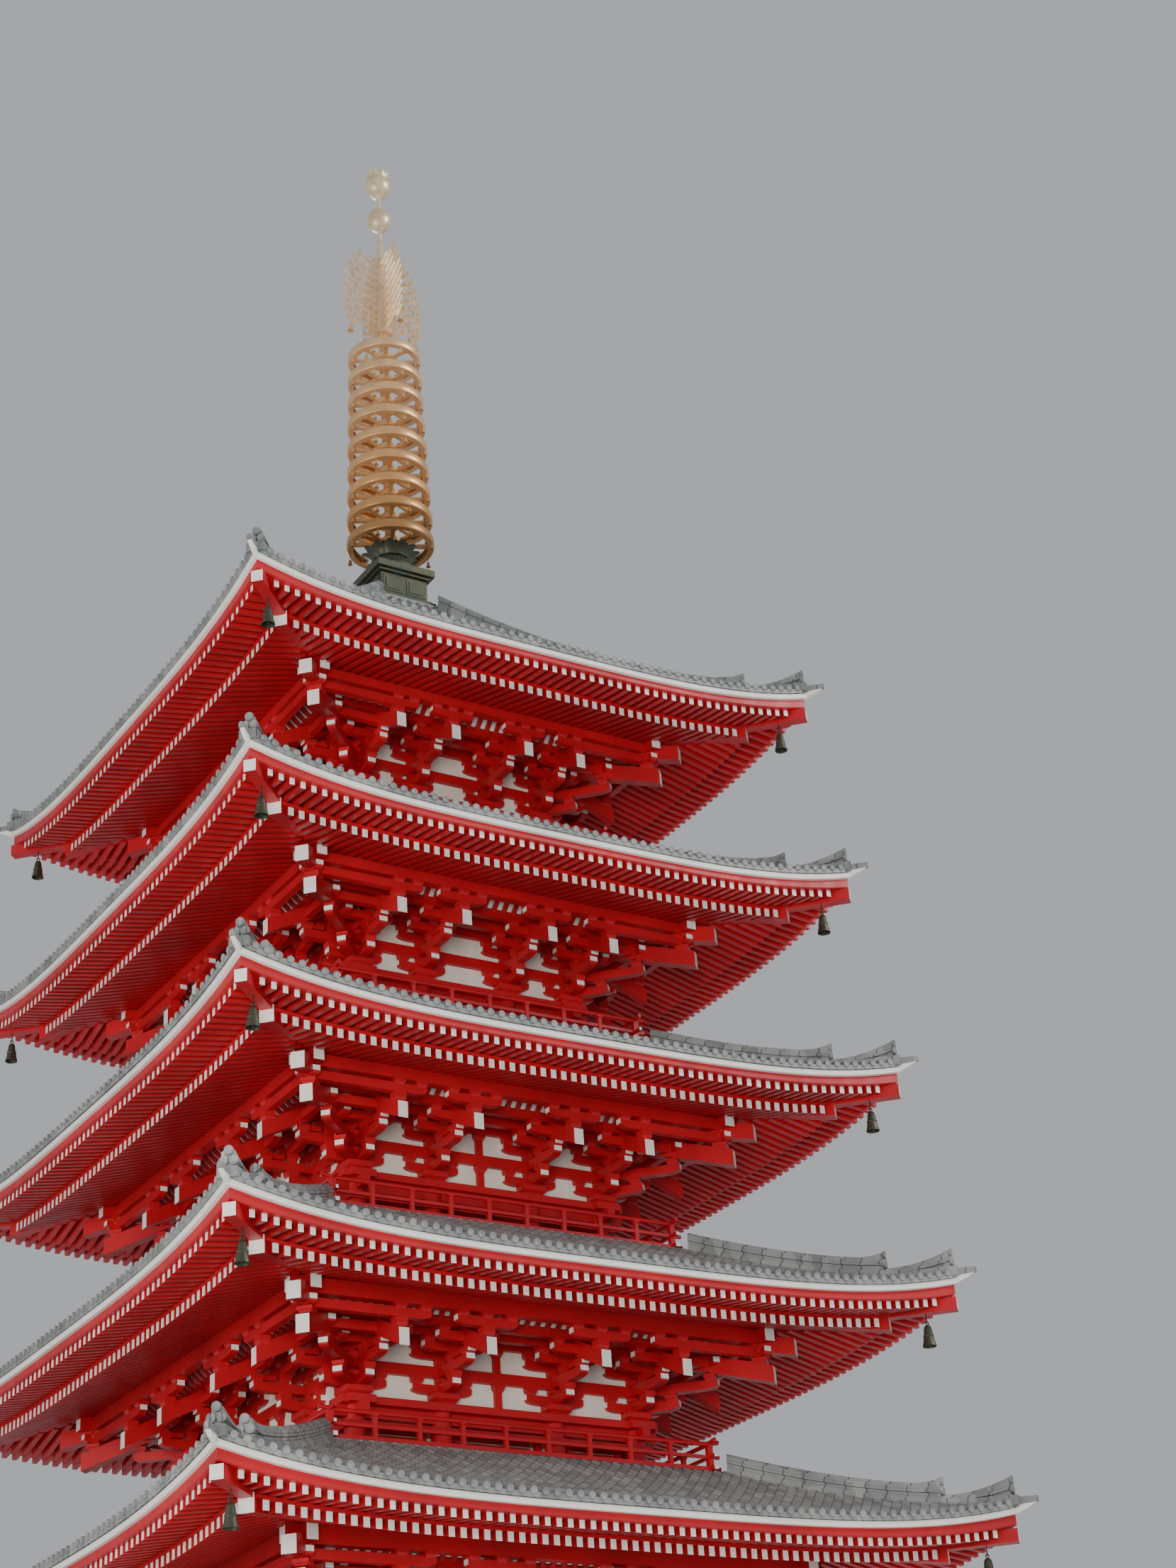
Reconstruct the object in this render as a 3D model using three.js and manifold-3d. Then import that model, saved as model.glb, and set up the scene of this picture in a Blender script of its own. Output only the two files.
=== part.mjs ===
// A five-storey pagoda with its bronze finial, as a 1:2 scale model.
// Sizes are written in metres of the real tower, and mm() and fine() turn them into model millimetres.
// The tower's axis is Z, its front faces -Y, and it stands on the plane z = 0.
import * as THREE from 'three';
import { mergeVertices } from 'three/addons/utils/BufferGeometryUtils.js';
import Module from 'manifold-3d';

const wasm = await Module();
wasm.setup();

const MODEL_MM_PER_METRE = 500;
const SEAT_GAP = 0.3;
const mm = (metres) => Math.round(metres * MODEL_MM_PER_METRE);
const fine = (metres) => metres * MODEL_MM_PER_METRE;

// Driving sizes of the five storeys, from the ground storey up
const EAVE_HALF = [9.0, 8.55, 8.084, 7.673, 7.301];
const EAVE_CORNER_HEIGHT = [8.97, 13.93, 18.89, 23.82, 28.71];
const WALL_HALF = [3.68, 3.36, 3.05, 2.72, 2.39];
const CENTRE_BAY_SHARE = 0.405;
const EAVE_SAG = 0.63;
const SAG_POWER = 3.6;
const SIDE_STOPS = [-1, -0.8, -0.5, 0.5, 0.8];
// The corners' rise starts this far out of the wall and grows evenly to the eave's edge
const LIFT_START = 0.5;

// The stone platform and its stairs
const PODIUM_HEIGHT = 1.5;
const PODIUM_HALF = 6.5;
const PODIUM_LIP = 0.12;
const PODIUM_LIP_HEIGHT = 0.2;
const PLINTH_HALF = 6.8;
const PLINTH_HEIGHT = 0.3;
const STAIR_HALF_WIDTH = 1.7;
const STAIR_TREAD = 0.34;
const STAIR_STEPS = 6;

// Columns, beams and walls
const COLUMN_RADIUS = 0.23;
const COLUMN_SIDES = 8;
const PLATE_DROP = 2.04;
const PLATE_HEIGHT = 0.16;
const PLATE_HALF_WIDTH = 0.3;
const SILL_TIE_HEIGHT = 0.18;
const WALL_THICKNESS = 0.16;
const LEAF_THICKNESS = 0.08;
const LEAF_MARGIN = 0.1;
const OPENING_DROP = 0.72;
const GROUND_DOOR_HEIGHT = 3.1;
const GROUND_WINDOW_SILL = 1.2;
const JAMB = 0.42;
const OVERCUT = 0.1;

// Three-stepped brackets: how far each step stands out of the wall, heights below the eave corner
const BRACKET_WIDTH = 0.26;
const PLASTER_THICKNESS = 0.12;
const PURLIN_OUT = 2.04;
const PURLIN_HALF_WIDTH = 0.15;
const PURLIN_SEAT_DROP = 0.76;
const BRACKET_OUTLINE = [
  [-0.06, -2.04], [0.28, -2.04], [0.85, -1.66], [0.85, -1.42], [1.5, -1.36], [2.24, -1.6],
  [2.24, -0.76], [1.8, -0.76], [-0.06, -0.48],
];

// Two rows of rafters under the eaves
const BASE_RAFTER = { inset: 1.1, drop: 0.38, slope: 0.28 };
const FLYING_RAFTER = { inset: 0.2, drop: 0.267, slope: 0.17, depth: 0.154 };
const RAFTER_BED = { height: 0.3, inner: 0.3, bearing: 0.05, outer: 0.45 };
const BOARD = { thickness: 0.17, fascia: 0.09, foot: 0.04, height: 0.16 };
const BASE_HIP = { inset: 1.124, drop: 0.643, width: 0.31, height: 0.36, inner: 0.2, rise: 0.08 };
const FLYING_HIP = { inset: 0.06, drop: 0.42, width: 0.3, height: 0.36, length: 2.1 };
const BELL = {
  inset: 0.46,
  radius: 0.15,
  crown: 0.09,
  height: 0.46,
  drop: 0.19,
  hook: 0.03,
  sides: 6,
};

// Tiled roofs
const TILE_OVERHANG = 0.06;
const TILE_EDGE = 0.285;
const ROOF_THICKNESS = 0.2;
const ROOF_RISE = 1.5;
const ROOF_INNER = 1.45;
const ROOF_EAVE_SLOPE = 0.36;
const ROOF_UNDER_COURSE = 0.36;
const SLOPE_SHARES = [0.3, 0.65, 1];
const TOP_ROOF = { rise: 4.5, inner: 0.78, eaveSlope: 0.42, shaftHole: 0.3, capShare: 0.8, capHeight: 0.3 };
const COURSE = { height: 0.1, back: 0.15 };
// The hip ridges' two tiers, in heights over the tiles, with a raised end on each
const RIDGE = {
  width: 0.34,
  upper: 0.45,
  lower: 0.19,
  split: 1.08,
  foot: 0.12,
  start: -0.05,
  topStart: 0.15,
};
const RIDGE_END = { upper: 0.57, upperLength: 0.34, lower: 0.5, lowerInset: 0.06, wedge: 0.28 };
// The pointed corner tile under the lower end
const CORNER_TILE = { reach: 0.28, foot: -0.085, tip: 0.09, root: 0.165 };

// Balconies round storeys two to five
const BALCONY_FLOOR = 1.62;
const BALCONY_THICKNESS = 0.16;
const BALCONY_MARGIN = 0.05;
const BALCONY_SKIRT = { inner: 0.35, outer: 0.6, overlap: 0.05 };
const RAILING = { inset: 0.12, posts: 2, post: 0.12, rail: 0.1, heights: [0.6], overrun: 0.24 };

// The finial, in heights above the ground
const FINIAL = {
  basin: { half: 0.82, top: 34.3, neck: 0.66, rim: 0.1 },
  bowl: { radius: 0.66, top: 34.86 },
  lotus: { radius: 0.82, top: 35.12 },
  rings: {
    count: 9,
    first: 35.32,
    last: 41.2,
    firstRadius: 1.13,
    lastRadius: 0.97,
    rim: 0.16,
    height: 0.24,
    spoke: 0.035,
  },
  flame: { bottom: 42.1, top: 44.8, half: 1.2, thickness: 0.06, shaft: 0.104 },
  dragonBall: { centre: 46.02, radius: 0.33, seat: 45.6 },
  jewel: { centre: 47.26, radius: 0.37, tip: 47.74, tipRadius: 0.2, neck: 0.07 },
  shaft: 0.13,
};
// The edge of a vane of the flame, as shares of its reach and its height
const FLAME_EDGE = [[0.86, 0], [1, 0.12], [1, 0.48], [0.92, 0.72], [0.62, 0.96], [0.2, 1]];
const ROUND_SIDES = 8;
const BALL_RINGS = 6;
const SHAFT_SIDES = 4;

const UP = new THREE.Vector3(0, 0, 1);
const QUARTERS = [0, 1, 2, 3];

// Geometry helpers

function closed(geometry) {
  const bare = geometry.clone();
  bare.deleteAttribute('normal');
  bare.deleteAttribute('uv');
  return mergeVertices(bare, 1e-3);
}

function solid(geometry) {
  const body = closed(geometry);
  return new wasm.Manifold(new wasm.Mesh({
    numProp: 3,
    vertProperties: new Float32Array(body.attributes.position.array),
    triVerts: new Uint32Array(body.index.array),
  }));
}

function geometryOf(manifold) {
  const mesh = manifold.getMesh();
  const geometry = new THREE.BufferGeometry();
  geometry.setAttribute('position', new THREE.BufferAttribute(new Float32Array(mesh.vertProperties), 3));
  geometry.setIndex(new THREE.BufferAttribute(new Uint32Array(mesh.triVerts), 1));
  return geometry;
}

function fuse(pieces) {
  return geometryOf(pieces.map(solid).reduce((sum, piece) => sum.add(piece)));
}

function cut(body, tools) {
  return geometryOf(tools.map(solid).reduce((rest, tool) => rest.subtract(tool), solid(body)));
}

function block(x0, x1, y0, y1, z0, z1) {
  const geometry = new THREE.BoxGeometry(x1 - x0, y1 - y0, z1 - z0);
  return geometry.translate((x0 + x1) / 2, (y0 + y1) / 2, (z0 + z1) / 2);
}

function turned(geometry, quarters) {
  return geometry.clone().rotateZ(quarters * Math.PI / 2);
}

function fourSides(pieces) {
  return QUARTERS.flatMap((quarter) => pieces.map((piece) => turned(piece, quarter)));
}

// An outline of (distance from the axis, height), as a plate that stands square to the front
function upright(outline, thickness, along = 0) {
  const shape = new THREE.Shape(outline.map(([d, z]) => new THREE.Vector2(d, z)));
  const geometry = new THREE.ExtrudeGeometry(shape, { depth: thickness, bevelEnabled: false });
  geometry.translate(0, 0, -thickness / 2);
  const basis = new THREE.Matrix4().makeBasis(
    new THREE.Vector3(0, -1, 0), new THREE.Vector3(0, 0, 1), new THREE.Vector3(-1, 0, 0));
  return geometry.applyMatrix4(basis).translate(along, 0, 0);
}

// The same plate under the diagonal of a corner
function diagonal(outline, thickness) {
  const stretched = outline.map(([d, z]) => [d * Math.SQRT2, z]);
  return upright(stretched, thickness).rotateZ(Math.PI / 4);
}

// A closed outline of (distance from the axis, height) carried round a square.
// The stops are places along a side, from -1 at its start, and lift raises a point by where it lies.
// Two rings that lie on each other run their touching faces the same way, so that their facets match.
function squareRing(outline, stops = [-1], lift = () => 0) {
  const loop = [...outline, outline[0]].map(([d, z]) => new THREE.Vector2(d, z));
  const turns = 4 * stops.length;
  const geometry = new THREE.LatheGeometry(loop, turns);
  const place = geometry.attributes.position;
  for (let i = 0; i < place.count; i += 1) {
    const turn = Math.floor(i / loop.length) % turns;
    const side = Math.floor(turn / stops.length);
    const fraction = stops[turn % stops.length];
    const { x: d, y: z } = loop[i % loop.length];
    const point = new THREE.Vector3(fraction * d, -d, z + lift(fraction * d, d));
    point.applyAxisAngle(UP, side * Math.PI / 2);
    place.setXYZ(i, point.x, point.y, point.z);
  }
  if (THREE.ShapeUtils.area(loop) < 0) {
    geometry.index.array.reverse();
  }
  return geometry;
}

function ringBeam(inner, outer, low, high) {
  return squareRing([[inner, low], [outer, low], [outer, high], [inner, high]]);
}

function upwardCylinder(radius, low, high, x = 0, y = 0, sides = ROUND_SIDES) {
  const corner = radius / Math.cos(Math.PI / sides);
  const geometry = new THREE.CylinderGeometry(corner, corner, high - low, sides);
  geometry.rotateY(Math.PI / sides).rotateX(Math.PI / 2);
  return geometry.translate(x, y, (low + high) / 2);
}

// A turned piece from a profile of (radius, height) that starts and ends on the axis
function spun(profile, sides = ROUND_SIDES) {
  const points = profile.map(([r, z]) => new THREE.Vector2(r, z));
  return new THREE.LatheGeometry(points, sides).rotateX(Math.PI / 2);
}

// The storeys' own sizes

function storeySizes(index) {
  const eave = fine(EAVE_HALF[index]);
  const corner = mm(EAVE_CORNER_HEIGHT[index]);
  const wall = mm(WALL_HALF[index]);
  const isTop = index === WALL_HALF.length - 1;
  const inner = isTop ? fine(TOP_ROOF.inner) : fine(WALL_HALF[index + 1] + ROOF_INNER);
  const fadeStart = wall + fine(LIFT_START);
  const fadeLength = eave - fadeStart;
  return {
    index,
    isTop,
    eave,
    corner,
    wall,
    bay: mm(WALL_HALF[index] * CENTRE_BAY_SHARE),
    floor: index === 0 ? mm(PODIUM_HEIGHT) : mm(EAVE_CORNER_HEIGHT[index - 1] + BALCONY_FLOOR),
    plateTop: corner - mm(PLATE_DROP),
    middle: corner - fine(EAVE_SAG),
    roofInner: inner,
    roofTop: corner + fine(isTop ? TOP_ROOF.rise : ROOF_RISE),
    eaveSlope: isTop ? TOP_ROOF.eaveSlope : ROOF_EAVE_SLOPE,
    lift: (x, d) => {
      const fade = Math.min(1, Math.max(0, (d - fadeStart) / fadeLength));
      return fine(EAVE_SAG) * fade * Math.abs(x / eave) ** SAG_POWER;
    },
  };
}

const baseRafterUnderside = (s, d) =>
  s.middle - fine(BASE_RAFTER.drop) + BASE_RAFTER.slope * (s.eave - fine(BASE_RAFTER.inset) - d);

const rafterBearing = (s) => Math.floor(baseRafterUnderside(s, s.wall + fine(RAFTER_BED.bearing)));
const rafterSeat = (s) => rafterBearing(s) + mm(RAFTER_BED.height);
const boardTop = (s) => s.middle + fine(BOARD.height);

// Height of the tiles at a distance from the axis, at the middle of a side
function tileHeight(s, d) {
  const edge = s.middle + fine(TILE_EDGE);
  const run = s.eave - s.roofInner;
  const bend = (s.roofTop - edge - s.eaveSlope * run) / run ** 2;
  const reach = s.eave - d;
  return edge + s.eaveSlope * reach + bend * reach * Math.max(0, reach);
}

const columnPlaces = (s) => {
  const side = [[-s.wall, -s.wall], [-s.bay, -s.wall], [s.bay, -s.wall]];
  return QUARTERS.flatMap((quarter) => side.map(([x, y]) => {
    const place = new THREE.Vector3(x, y, 0).applyAxisAngle(UP, quarter * Math.PI / 2);
    return [Math.round(place.x), Math.round(place.y)];
  }));
};

// The pieces of the platform

function podium() {
  const half = mm(PODIUM_HALF);
  const lip = mm(PODIUM_LIP);
  const plinth = mm(PLINTH_HALF);
  const top = mm(PODIUM_HEIGHT);
  return fuse([
    block(-plinth, plinth, -plinth, plinth, 0, mm(PLINTH_HEIGHT)),
    block(-half, half, -half, half, 0, top),
    block(-half - lip, half + lip, -half - lip, half + lip, top - mm(PODIUM_LIP_HEIGHT), top),
  ]);
}

// A flight stands over the plinth and against the podium's face, its top step being the podium itself
function stairs(quarter) {
  const rise = mm(PODIUM_HEIGHT) / STAIR_STEPS;
  const back = mm(PODIUM_HALF);
  const plinth = mm(PLINTH_HALF);
  const outline = [[plinth, 0]];
  for (let step = 0; step < STAIR_STEPS - 1; step += 1) {
    const nose = plinth + mm(STAIR_TREAD) * (STAIR_STEPS - 1 - step);
    outline.push([nose, rise * step], [nose, rise * (step + 1)]);
  }
  outline.push([back, rise * (STAIR_STEPS - 1)], [back, mm(PLINTH_HEIGHT)], [plinth, mm(PLINTH_HEIGHT)]);
  return turned(upright(outline, 2 * mm(STAIR_HALF_WIDTH)), quarter);
}

// The pieces of a storey

function columns(s) {
  const radius = mm(COLUMN_RADIUS);
  const posts = columnPlaces(s).map(([x, y]) =>
    upwardCylinder(radius, s.floor, s.plateTop - 1, x, y, COLUMN_SIDES));
  const half = mm(PLATE_HALF_WIDTH);
  return fuse([
    ringBeam(s.wall - half, s.wall + half, s.plateTop - mm(PLATE_HEIGHT), s.plateTop),
    ...posts,
  ]);
}

function openingTop(s) {
  return s.index === 0 ? s.floor + mm(GROUND_DOOR_HEIGHT) : s.plateTop - mm(OPENING_DROP);
}

const wallFace = (s) => s.wall - mm(COLUMN_RADIUS) - SEAT_GAP;

function walls(s) {
  const face = wallFace(s);
  const back = face - fine(WALL_THICKNESS);
  const ring = ringBeam(back, face, s.floor, s.plateTop - mm(PLATE_HEIGHT));
  const doorHalf = s.bay - mm(JAMB);
  const windowHalf = (s.wall - s.bay) / 2 - mm(JAMB);
  const windowCentre = (s.wall + s.bay) / 2;
  const sill = s.floor + mm(s.index === 0 ? GROUND_WINDOW_SILL : SILL_TIE_HEIGHT);
  const head = openingTop(s);
  const through = fine(OVERCUT);
  const opening = (centre, half, low) =>
    block(centre - half, centre + half, -face - through, -back + through, low, head);
  return cut(ring, fourSides([
    opening(0, doorHalf, s.floor + mm(SILL_TIE_HEIGHT)),
    opening(-windowCentre, windowHalf, sill),
    opening(windowCentre, windowHalf, sill),
  ]));
}

// The closed door leaves and window lattices stand behind the wall's openings
function leaves(s) {
  const face = wallFace(s) - fine(WALL_THICKNESS) - SEAT_GAP;
  return ringBeam(face - fine(LEAF_THICKNESS), face, s.floor, openingTop(s) + mm(LEAF_MARGIN));
}

function brackets(s) {
  const placed = BRACKET_OUTLINE.map(([out, up]) => [s.wall + mm(out), s.corner + mm(up)]);
  const width = mm(BRACKET_WIDTH);
  const plaster = ringBeam(s.wall - mm(PLASTER_THICKNESS), s.wall, s.plateTop, rafterBearing(s));
  const sets = [-s.bay, s.bay].map((along) => upright(placed, width, along));
  const purlin = s.wall + mm(PURLIN_OUT);
  const half = mm(PURLIN_HALF_WIDTH);
  const purlinTop = Math.floor(baseRafterUnderside(s, purlin + half));
  return fuse([
    plaster,
    ringBeam(purlin - half, purlin + half, s.corner - mm(PURLIN_SEAT_DROP), purlinTop),
    ...fourSides([...sets, diagonal(placed, width)]),
  ]);
}

function eaves(s) {
  const inner = s.wall - mm(RAFTER_BED.inner);
  const bearing = rafterBearing(s);
  const seat = rafterSeat(s);
  const baseEnd = s.eave - fine(BASE_RAFTER.inset);
  const flyingEnd = s.eave - fine(FLYING_RAFTER.inset);
  const flyingBottom = s.middle - fine(FLYING_RAFTER.drop);
  const flyingRise = FLYING_RAFTER.slope * (flyingEnd - baseEnd);
  const fascia = s.eave - fine(BOARD.fascia);
  const fasciaBottom = flyingBottom + fine(FLYING_RAFTER.depth);
  const boardFoot = s.middle + fine(BOARD.foot);
  const outline = [
    [inner, bearing], [s.wall + mm(RAFTER_BED.bearing), bearing],
    [baseEnd, s.middle - fine(BASE_RAFTER.drop)], [baseEnd, flyingBottom + flyingRise],
    [flyingEnd, flyingBottom], [flyingEnd, fasciaBottom], [fascia, fasciaBottom], [fascia, boardFoot],
    [s.eave, boardFoot], [s.eave, boardTop(s)], [s.eave - fine(BOARD.thickness), boardTop(s)],
    [s.wall + mm(RAFTER_BED.outer), seat], [inner, seat],
  ];
  return fuse([
    squareRing(outline, SIDE_STOPS, s.lift),
    ...fourSides([baseHipRafter(s), flyingHipRafter(s), ...bell(s)]),
  ]);
}

// A hip rafter is a four-sided outline under the diagonal, with its heights at the inner and outer end
function hipRafter(inner, innerHeight, outer, outerHeight, depth, width) {
  const outline = [
    [inner, innerHeight - depth / 2], [outer, outerHeight - depth / 2],
    [outer, outerHeight + depth / 2], [inner, innerHeight + depth / 2],
  ];
  return diagonal(outline, width);
}

function baseHipRafter(s) {
  const inner = s.wall + mm(BASE_HIP.inner);
  const innerHeight = rafterBearing(s) + fine(BASE_HIP.rise);
  const outer = s.eave - fine(BASE_HIP.inset);
  return hipRafter(inner, innerHeight, outer, s.corner - fine(BASE_HIP.drop),
    fine(BASE_HIP.height), mm(BASE_HIP.width));
}

function flyingHipRafter(s) {
  const outer = s.eave - fine(FLYING_HIP.inset);
  const outerHeight = s.corner - fine(FLYING_HIP.drop);
  return hipRafter(outer - fine(FLYING_HIP.length), outerHeight,
    outer, outerHeight, fine(FLYING_HIP.height), mm(FLYING_HIP.width));
}

// A wind bell on its hook under the end of the flying hip rafter
function bell(s) {
  const place = s.eave - fine(FLYING_HIP.inset + BELL.inset);
  const top = s.corner - fine(FLYING_HIP.drop + FLYING_HIP.height / 2);
  const crown = top - fine(BELL.drop);
  const rim = crown - fine(BELL.height);
  const body = new THREE.CylinderGeometry(fine(BELL.crown), fine(BELL.radius), crown - rim, BELL.sides);
  body.rotateX(Math.PI / 2).translate(place, -place, (crown + rim) / 2);
  const hook = fine(BELL.hook);
  return [body, block(place - hook, place + hook, -place - hook, -place + hook, crown - hook, top + hook)];
}

function roof(s) {
  const rim = s.eave + fine(TILE_OVERHANG);
  const underRim = boardTop(s) + SEAT_GAP;
  const inner = s.isTop ? fine(TOP_ROOF.shaftHole) : s.roofInner - fine(COURSE.back);
  const slopePlaces = SLOPE_SHARES.map((share) => s.eave - share * (s.eave - s.roofInner));
  const above = slopePlaces.map((d) => [d, tileHeight(s, d)]);
  const below = slopePlaces.slice(0, -1).map((d) => [d, tileHeight(s, d) - fine(ROOF_THICKNESS)]);
  const courseTop = s.isTop ? s.roofTop : s.roofTop + fine(COURSE.height);
  const outline = [
    [s.eave - fine(BOARD.thickness), underRim], [s.eave, underRim], [rim, underRim],
    [rim, tileHeight(s, s.eave)], ...above,
    [s.roofInner, courseTop], [inner, courseTop], [inner, s.roofTop - fine(ROOF_UNDER_COURSE)],
    ...below.reverse(),
  ];
  const shell = squareRing(withoutRepeats(outline).reverse(), SIDE_STOPS, s.lift);
  const pieces = [shell, ...fourSides([hipRidge(s)])];
  if (s.isTop) {
    const cap = s.roofInner * TOP_ROOF.capShare;
    pieces.push(block(-cap, cap, -cap, cap, courseTop - mm(TOP_ROOF.capHeight), courseTop));
  }
  return fuse(pieces);
}

// An outline without two like points in a row
function withoutRepeats(outline) {
  return outline.filter(([d, z], i) => {
    const [before, height] = outline[(i + outline.length - 1) % outline.length];
    return Math.abs(d - before) + Math.abs(z - height) > 0.5;
  });
}

// A hip's ridge in two tiers, each with a raised end, and the corner tile that points out under it
function hipRidge(s) {
  const tiles = (d) => tileHeight(s, d) + s.lift(d, d);
  const above = (d, height) => [d, tiles(d) + fine(height)];
  const start = s.roofInner + fine(s.isTop ? RIDGE.topStart : RIDGE.start);
  const split = s.eave - fine(RIDGE.split);
  const end = s.eave - fine(RIDGE_END.lowerInset);
  const tip = s.eave + fine(CORNER_TILE.reach);
  const edge = tiles(s.eave);
  const outline = [
    above(start, -RIDGE.foot), above((start + s.eave) / 2, -RIDGE.foot), above(s.eave, -RIDGE.foot),
    [tip, edge + fine(CORNER_TILE.foot)], [tip, edge + fine(CORNER_TILE.tip)],
    above(end, CORNER_TILE.root), above(end, RIDGE_END.lower), above((split + end) / 2, RIDGE_END.wedge),
    above(split, RIDGE.lower), above(split, RIDGE_END.upper),
    above(split - fine(RIDGE_END.upperLength), RIDGE.upper),
    above((start + split) / 2, RIDGE.upper), above(start, RIDGE.upper),
  ];
  return diagonal(outline, mm(RIDGE.width));
}

function balcony(s) {
  const below = storeys[s.index - 1];
  const edge = mm(WALL_HALF[s.index] + ROOF_INNER - COURSE.back - BALCONY_MARGIN);
  const under = s.floor - mm(BALCONY_THICKNESS);
  const skirtInner = s.wall + mm(BALCONY_SKIRT.inner);
  const skirtOuter = s.wall + mm(BALCONY_SKIRT.outer);
  return fuse([
    block(-edge, edge, -edge, edge, under, s.floor),
    ringBeam(skirtInner, skirtOuter, rafterSeat(below), under + mm(BALCONY_SKIRT.overlap)),
    ...railing(s, edge),
  ]);
}

function railing(s, edge) {
  const line = edge - mm(RAILING.inset);
  const post = mm(RAILING.post) / 2;
  const rail = mm(RAILING.rail) / 2;
  const topHeight = RAILING.heights.at(-1);
  const posts = [];
  for (let i = 0; i < RAILING.posts; i += 1) {
    const x = -line + 2 * line * i / RAILING.posts;
    posts.push(block(x - post, x + post, -line - post, -line + post, s.floor - 2, s.floor + mm(topHeight)));
  }
  const rails = RAILING.heights.map((height) => {
    const reach = line + mm(RAILING.overrun);
    const level = s.floor + mm(height);
    return block(-reach, reach, -line - rail, -line + rail, level - rail, level + rail);
  });
  return fourSides([...posts, ...rails]);
}

// The finial

function dewBasin() {
  const { half, top, neck, rim } = FINIAL.basin;
  const low = mm(EAVE_CORNER_HEIGHT.at(-1) + TOP_ROOF.rise);
  const high = mm(top);
  return fuse([
    block(-mm(half), mm(half), -mm(half), mm(half), low, low + mm(rim)),
    block(-mm(neck), mm(neck), -mm(neck), mm(neck), low, high),
    block(-mm(half), mm(half), -mm(half), mm(half), high - mm(rim) * 2, high),
  ]);
}

function bowlAndLotus() {
  const low = mm(FINIAL.basin.top);
  const middle = mm(FINIAL.bowl.top);
  const high = mm(FINIAL.lotus.top);
  const r = fine(FINIAL.bowl.radius);
  return fuse([spun([
    [0, low], [r, low], [r * 0.97, low + (middle - low) * 0.45], [r * 0.72, low + (middle - low) * 0.85],
    [r * 0.5, middle], [fine(FINIAL.lotus.radius), high - fine(0.06)], [fine(FINIAL.lotus.radius), high],
    [0, high],
  ])]);
}

function nineRings() {
  const { count, first, last, firstRadius, lastRadius, rim, height } = FINIAL.rings;
  const shaft = fine(FINIAL.shaft);
  const spoke = fine(FINIAL.rings.spoke);
  const pieces = [upwardCylinder(shaft, mm(FINIAL.lotus.top), mm(FINIAL.flame.bottom), 0, 0, SHAFT_SIDES)];
  for (let i = 0; i < count; i += 1) {
    const part = i / (count - 1);
    const level = fine(first + (last - first) * part);
    const radius = fine(firstRadius + (lastRadius - firstRadius) * part);
    const half = fine(height) / 2;
    const inner = radius - fine(rim);
    pieces.push(spun([
      [inner, level - half], [radius, level - half], [radius, level + half], [inner, level + half],
      [inner, level - half],
    ]));
    const reach = (radius + inner) / 2;
    pieces.push(block(-reach, reach, -spoke, spoke, level - spoke, level + spoke));
    pieces.push(block(-spoke, spoke, -reach, reach, level - spoke, level + spoke));
  }
  return fuse(pieces);
}

function waterFlame() {
  const { bottom, top, half, thickness, shaft } = FINIAL.flame;
  const edge = FLAME_EDGE.map(([out, up]) => [fine(half * out), fine(bottom + (top - bottom) * up)]);
  const vane = upright([[0, fine(bottom)], ...edge, [0, fine(top)]], fine(thickness));
  const core = upwardCylinder(fine(shaft), mm(bottom), mm(FINIAL.dragonBall.seat));
  return fuse([core, ...fourSides([vane])]);
}

function balls() {
  const { dragonBall, jewel } = FINIAL;
  const ball = ({ centre, radius }) => {
    const sphere = new THREE.SphereGeometry(fine(radius), ROUND_SIDES, BALL_RINGS);
    return sphere.rotateX(Math.PI / 2).translate(0, 0, fine(centre));
  };
  const neck = upwardCylinder(fine(jewel.neck), mm(dragonBall.seat), fine(jewel.centre));
  const tipBase = fine(jewel.centre + jewel.radius * 0.8);
  const tip = spun([[0, tipBase], [fine(jewel.tipRadius), tipBase], [0, mm(jewel.tip)]]);
  return fuse([neck, ball(dragonBall), ball(jewel), tip]);
}

// Finishes

const finish = (color, roughness, metalness = 0) => ({ color, roughness, metalness });
const GRANITE = finish(0x9a968c, 0.85);
const VERMILION = finish(0xb3231a, 0.35);
const PLASTER = finish(0xe9e4da, 0.8);
const TILE = finish(0x5f6466, 0.55);
const DARK_BRONZE = finish(0x3d3a30, 0.45, 0.8);
const GILT = finish(0xc9974a, 0.35, 0.9);

const pagoda = new THREE.Group();

function add(name, geometry, { color, roughness, metalness }) {
  const material = new THREE.MeshStandardMaterial({ color, roughness, metalness, flatShading: true });
  const mesh = new THREE.Mesh(closed(geometry), material);
  mesh.name = name;
  pagoda.add(mesh);
}

const storeys = WALL_HALF.map((_, index) => storeySizes(index));

add('podium', podium(), GRANITE);
['front', 'right', 'back', 'left'].forEach((side, quarter) => {
  add(`${side}_steps`, stairs(quarter), GRANITE);
});
storeys.forEach((s) => {
  const number = s.index + 1;
  if (s.index > 0) {
    add(`balcony_${number}`, balcony(s), VERMILION);
  }
  add(`columns_${number}`, columns(s), VERMILION);
  add(`walls_${number}`, walls(s), PLASTER);
  add(`doors_and_windows_${number}`, leaves(s), VERMILION);
  add(`brackets_${number}`, brackets(s), VERMILION);
  add(`eaves_${number}`, eaves(s), VERMILION);
  add(`roof_${number}`, roof(s), TILE);
});
add('dew_basin', dewBasin(), DARK_BRONZE);
add('bowl_and_lotus', bowlAndLotus(), DARK_BRONZE);
add('nine_rings', nineRings(), GILT);
add('water_flame', waterFlame(), GILT);
add('dragon_ball_and_jewel', balls(), GILT);

export default pagoda;
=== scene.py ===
# The looks of a five-storey pagoda, a 1:2 scale model.
# Sizes are in metres of the real tower. A finished piece is scaled by MODEL_SCALE, and only the camera,
# the lights, the floor and the patterns of the finishes are in metres of the model.
import math
import random

import bmesh
import bpy
from mathutils import Matrix, Vector


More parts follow.
